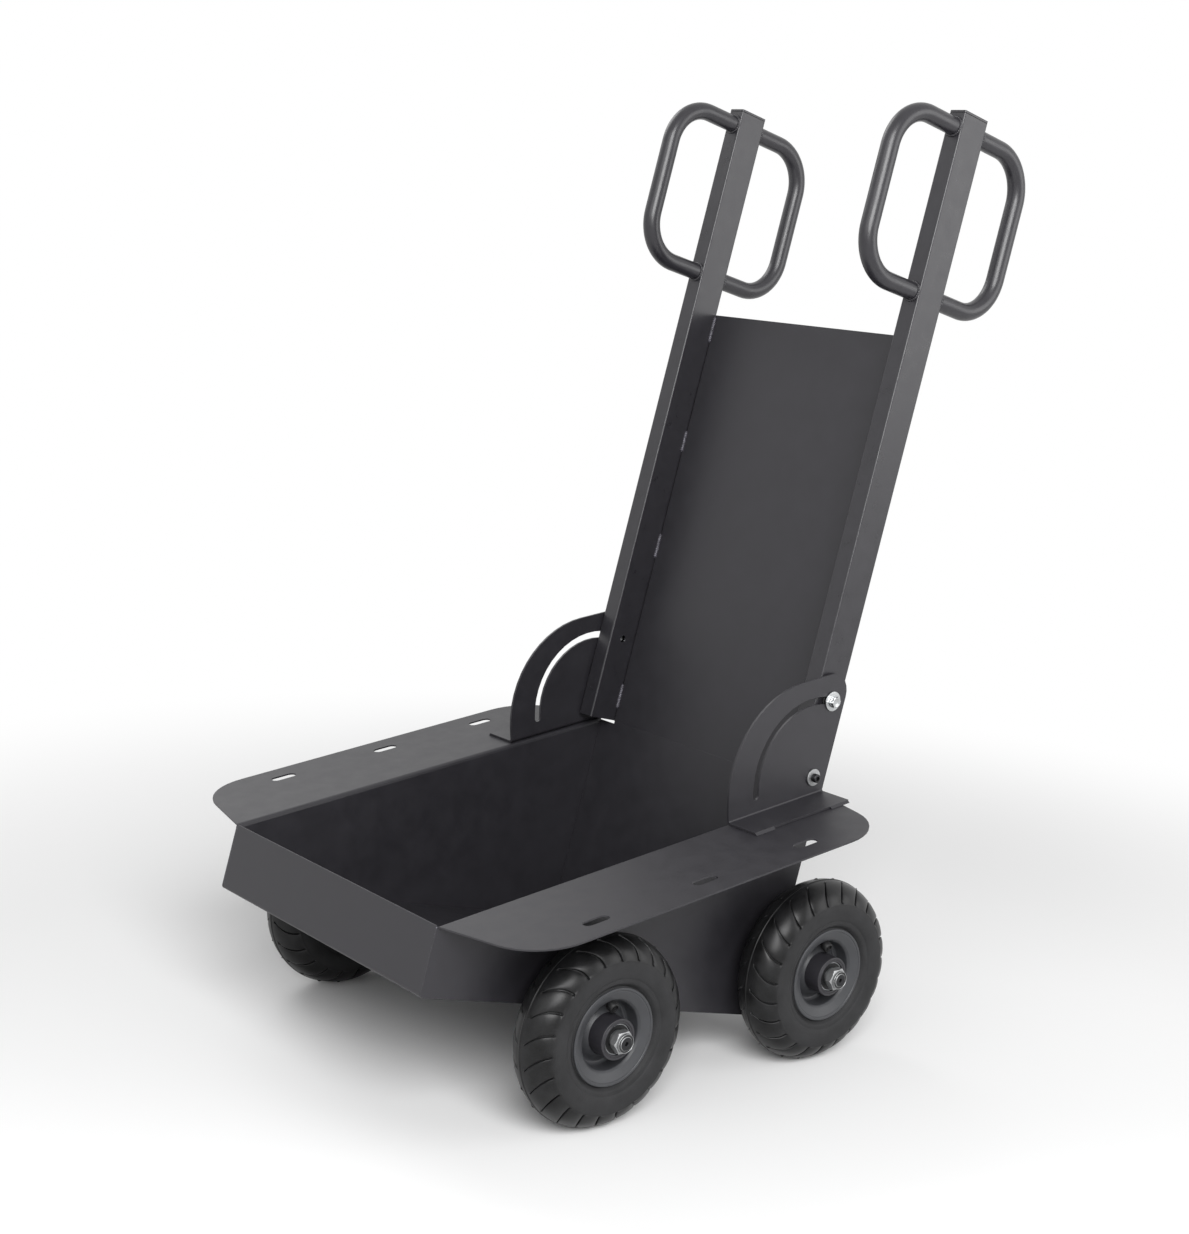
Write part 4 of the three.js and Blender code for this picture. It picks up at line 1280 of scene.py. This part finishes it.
class CART_OT_fasteners(bpy.types.Operator):
    """Pivot and clamp bolts with their washers and spacers"""

    bl_idname = "cart.fasteners"
    bl_label = "Fasteners"
    bl_options = {"REGISTER", "UNDO"}

    def execute(self, context):
        bolts = (
            ("pivot", self.socket_bolt(), "black_oxide"),
            ("clamp", self.hexagon_bolt(), "zinc_plate"))
        washers = (
            ("pivot", self.washer(PIVOT_WASHER_RADIUS, WASHER_THICKNESS), "passivated_zinc"),
            ("clamp", self.washer(CLAMP_WASHER_RADIUS, WASHER_THICKNESS), "zinc_plate"))
        for word, sign in SIDES:
            for kind, mesh, finish_name in bolts:
                place = seated(kind + "_washer_" + word, sign, WASHER_THICKNESS + SEAT_GAP)
                piece(
                    kind + "_bolt_turned_" + word, mesh, finish_name, "back_frame",
                    [kind + "_bolt_" + word], place)
            for kind, mesh, finish_name in washers:
                node = kind + "_washer_" + word
                piece(
                    kind + "_washer_turned_" + word, mesh, finish_name, "back_frame", [node],
                    seated(node, sign))
            for kind in ("pivot", "clamp"):
                node = kind + "_spacer_" + word
                low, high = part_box(node)
                piece(
                    kind + "_spacer_moulded_" + word, self.washer(SPACER_RADIUS, high.x - low.x),
                    "moulded_nylon", "back_frame", [node], seated(node, sign))
        return {"FINISHED"}

    def washer(self, radius, thickness):
        edge = min(WASHER_EDGE, thickness * 0.3)
        outline = filleted([
            (0, WASHER_BORE_RADIUS, 0), (0, radius, edge), (thickness, radius, edge),
            (thickness, WASHER_BORE_RADIUS, 0)], 4)
        return turned("washer", outline, BOLT_SIDES)

    def socket_bolt(self):
        """A cylinder-head bolt with a hexagon socket"""
        radius = 0.0052
        height = 0.0060
        flats = 0.005
        socket = flats * 0.58  # to the hexagon's corners
        depth = 0.0028
        head = turned("socket_bolt", [
            (0, 0), (0, radius), (height - 0.0007, radius), (height - 0.0002, radius - 0.0004),
            (height, radius - 0.0009), (height, socket), (height - depth, socket),
            (height - depth - 0.0006, 0)], BOLT_SIDES)
        # The turned hole's points are drawn in to the socket's flats
        for vertex in head.vertices:
            out = math.hypot(vertex.co.y, vertex.co.z)
            if 1e-6 < out < flats * 0.6:
                held = hexagon(flats)(math.atan2(vertex.co.z, vertex.co.y))
                vertex.co.y *= held / out
                vertex.co.z *= held / out
        return joined("socket_bolt", [head, self.shank(0.0140, 0, 24)])

    def hexagon_bolt(self):
        """A hexagon head on a round washer face, with a shallow round hollow in its top"""
        height = 0.0055
        corner = 0.0078
        washer_face = 0.0003
        head = turned("hexagon_bolt", [
            (0, 0), (0, 0.0063), (washer_face, 0.0066), (washer_face, corner), (height - 0.0008, corner),
            (height, 0.0062), (height, 0.0045), (height - 0.0003, 0.0040), (height - 0.0003, 0)],
            BOLT_SIDES, hexagon(0.013))
        return joined("hexagon_bolt", [head, self.shank(0.0290, 0.0009, 32)])

    def shank(self, end, chamfer, sides):
        outline = [
            (-end, 0), (-end, SHANK_RADIUS - chamfer), (-end + chamfer, SHANK_RADIUS),
            (0.0005, SHANK_RADIUS), (0.0005, 0)]
        return turned("shank", outline, sides)


OPERATORS = (
    CART_OT_stage, CART_OT_tray, CART_OT_brackets, CART_OT_push_frame, CART_OT_grips, CART_OT_axles,
    CART_OT_tyres, CART_OT_rims, CART_OT_bearings, CART_OT_fasteners)


class CART_PT_build(bpy.types.Panel):
    """Lists the cart's pieces, each with the operator that builds it"""

    bl_idname = "CART_PT_build"
    bl_label = "Camera cart"
    bl_space_type = "VIEW_3D"
    bl_region_type = "UI"
    bl_category = "Cart"

    def draw(self, context):
        for operator in OPERATORS:
            self.layout.operator(operator.bl_idname)
        for group in (context.scene.cart_colours, context.scene.cart_sizes, context.scene.cart_stage):
            box = self.layout.box()
            for name in group.__annotations__:
                box.prop(group, name)


CLASSES = (CartColours, CartSizes, CartStage, *OPERATORS, CART_PT_build)


def register():
    for each in CLASSES:
        bpy.utils.register_class(each)
    bpy.types.Scene.cart_colours = bpy.props.PointerProperty(type=CartColours)
    bpy.types.Scene.cart_sizes = bpy.props.PointerProperty(type=CartSizes)
    bpy.types.Scene.cart_stage = bpy.props.PointerProperty(type=CartStage)


def unregister():
    del bpy.types.Scene.cart_stage
    del bpy.types.Scene.cart_sizes
    del bpy.types.Scene.cart_colours
    for each in reversed(CLASSES):
        bpy.utils.unregister_class(each)


def main():
    register()
    for operator in OPERATORS:
        group, name = operator.bl_idname.split(".")
        getattr(getattr(bpy.ops, group), name)()


if __name__ == "__main__":
    main()
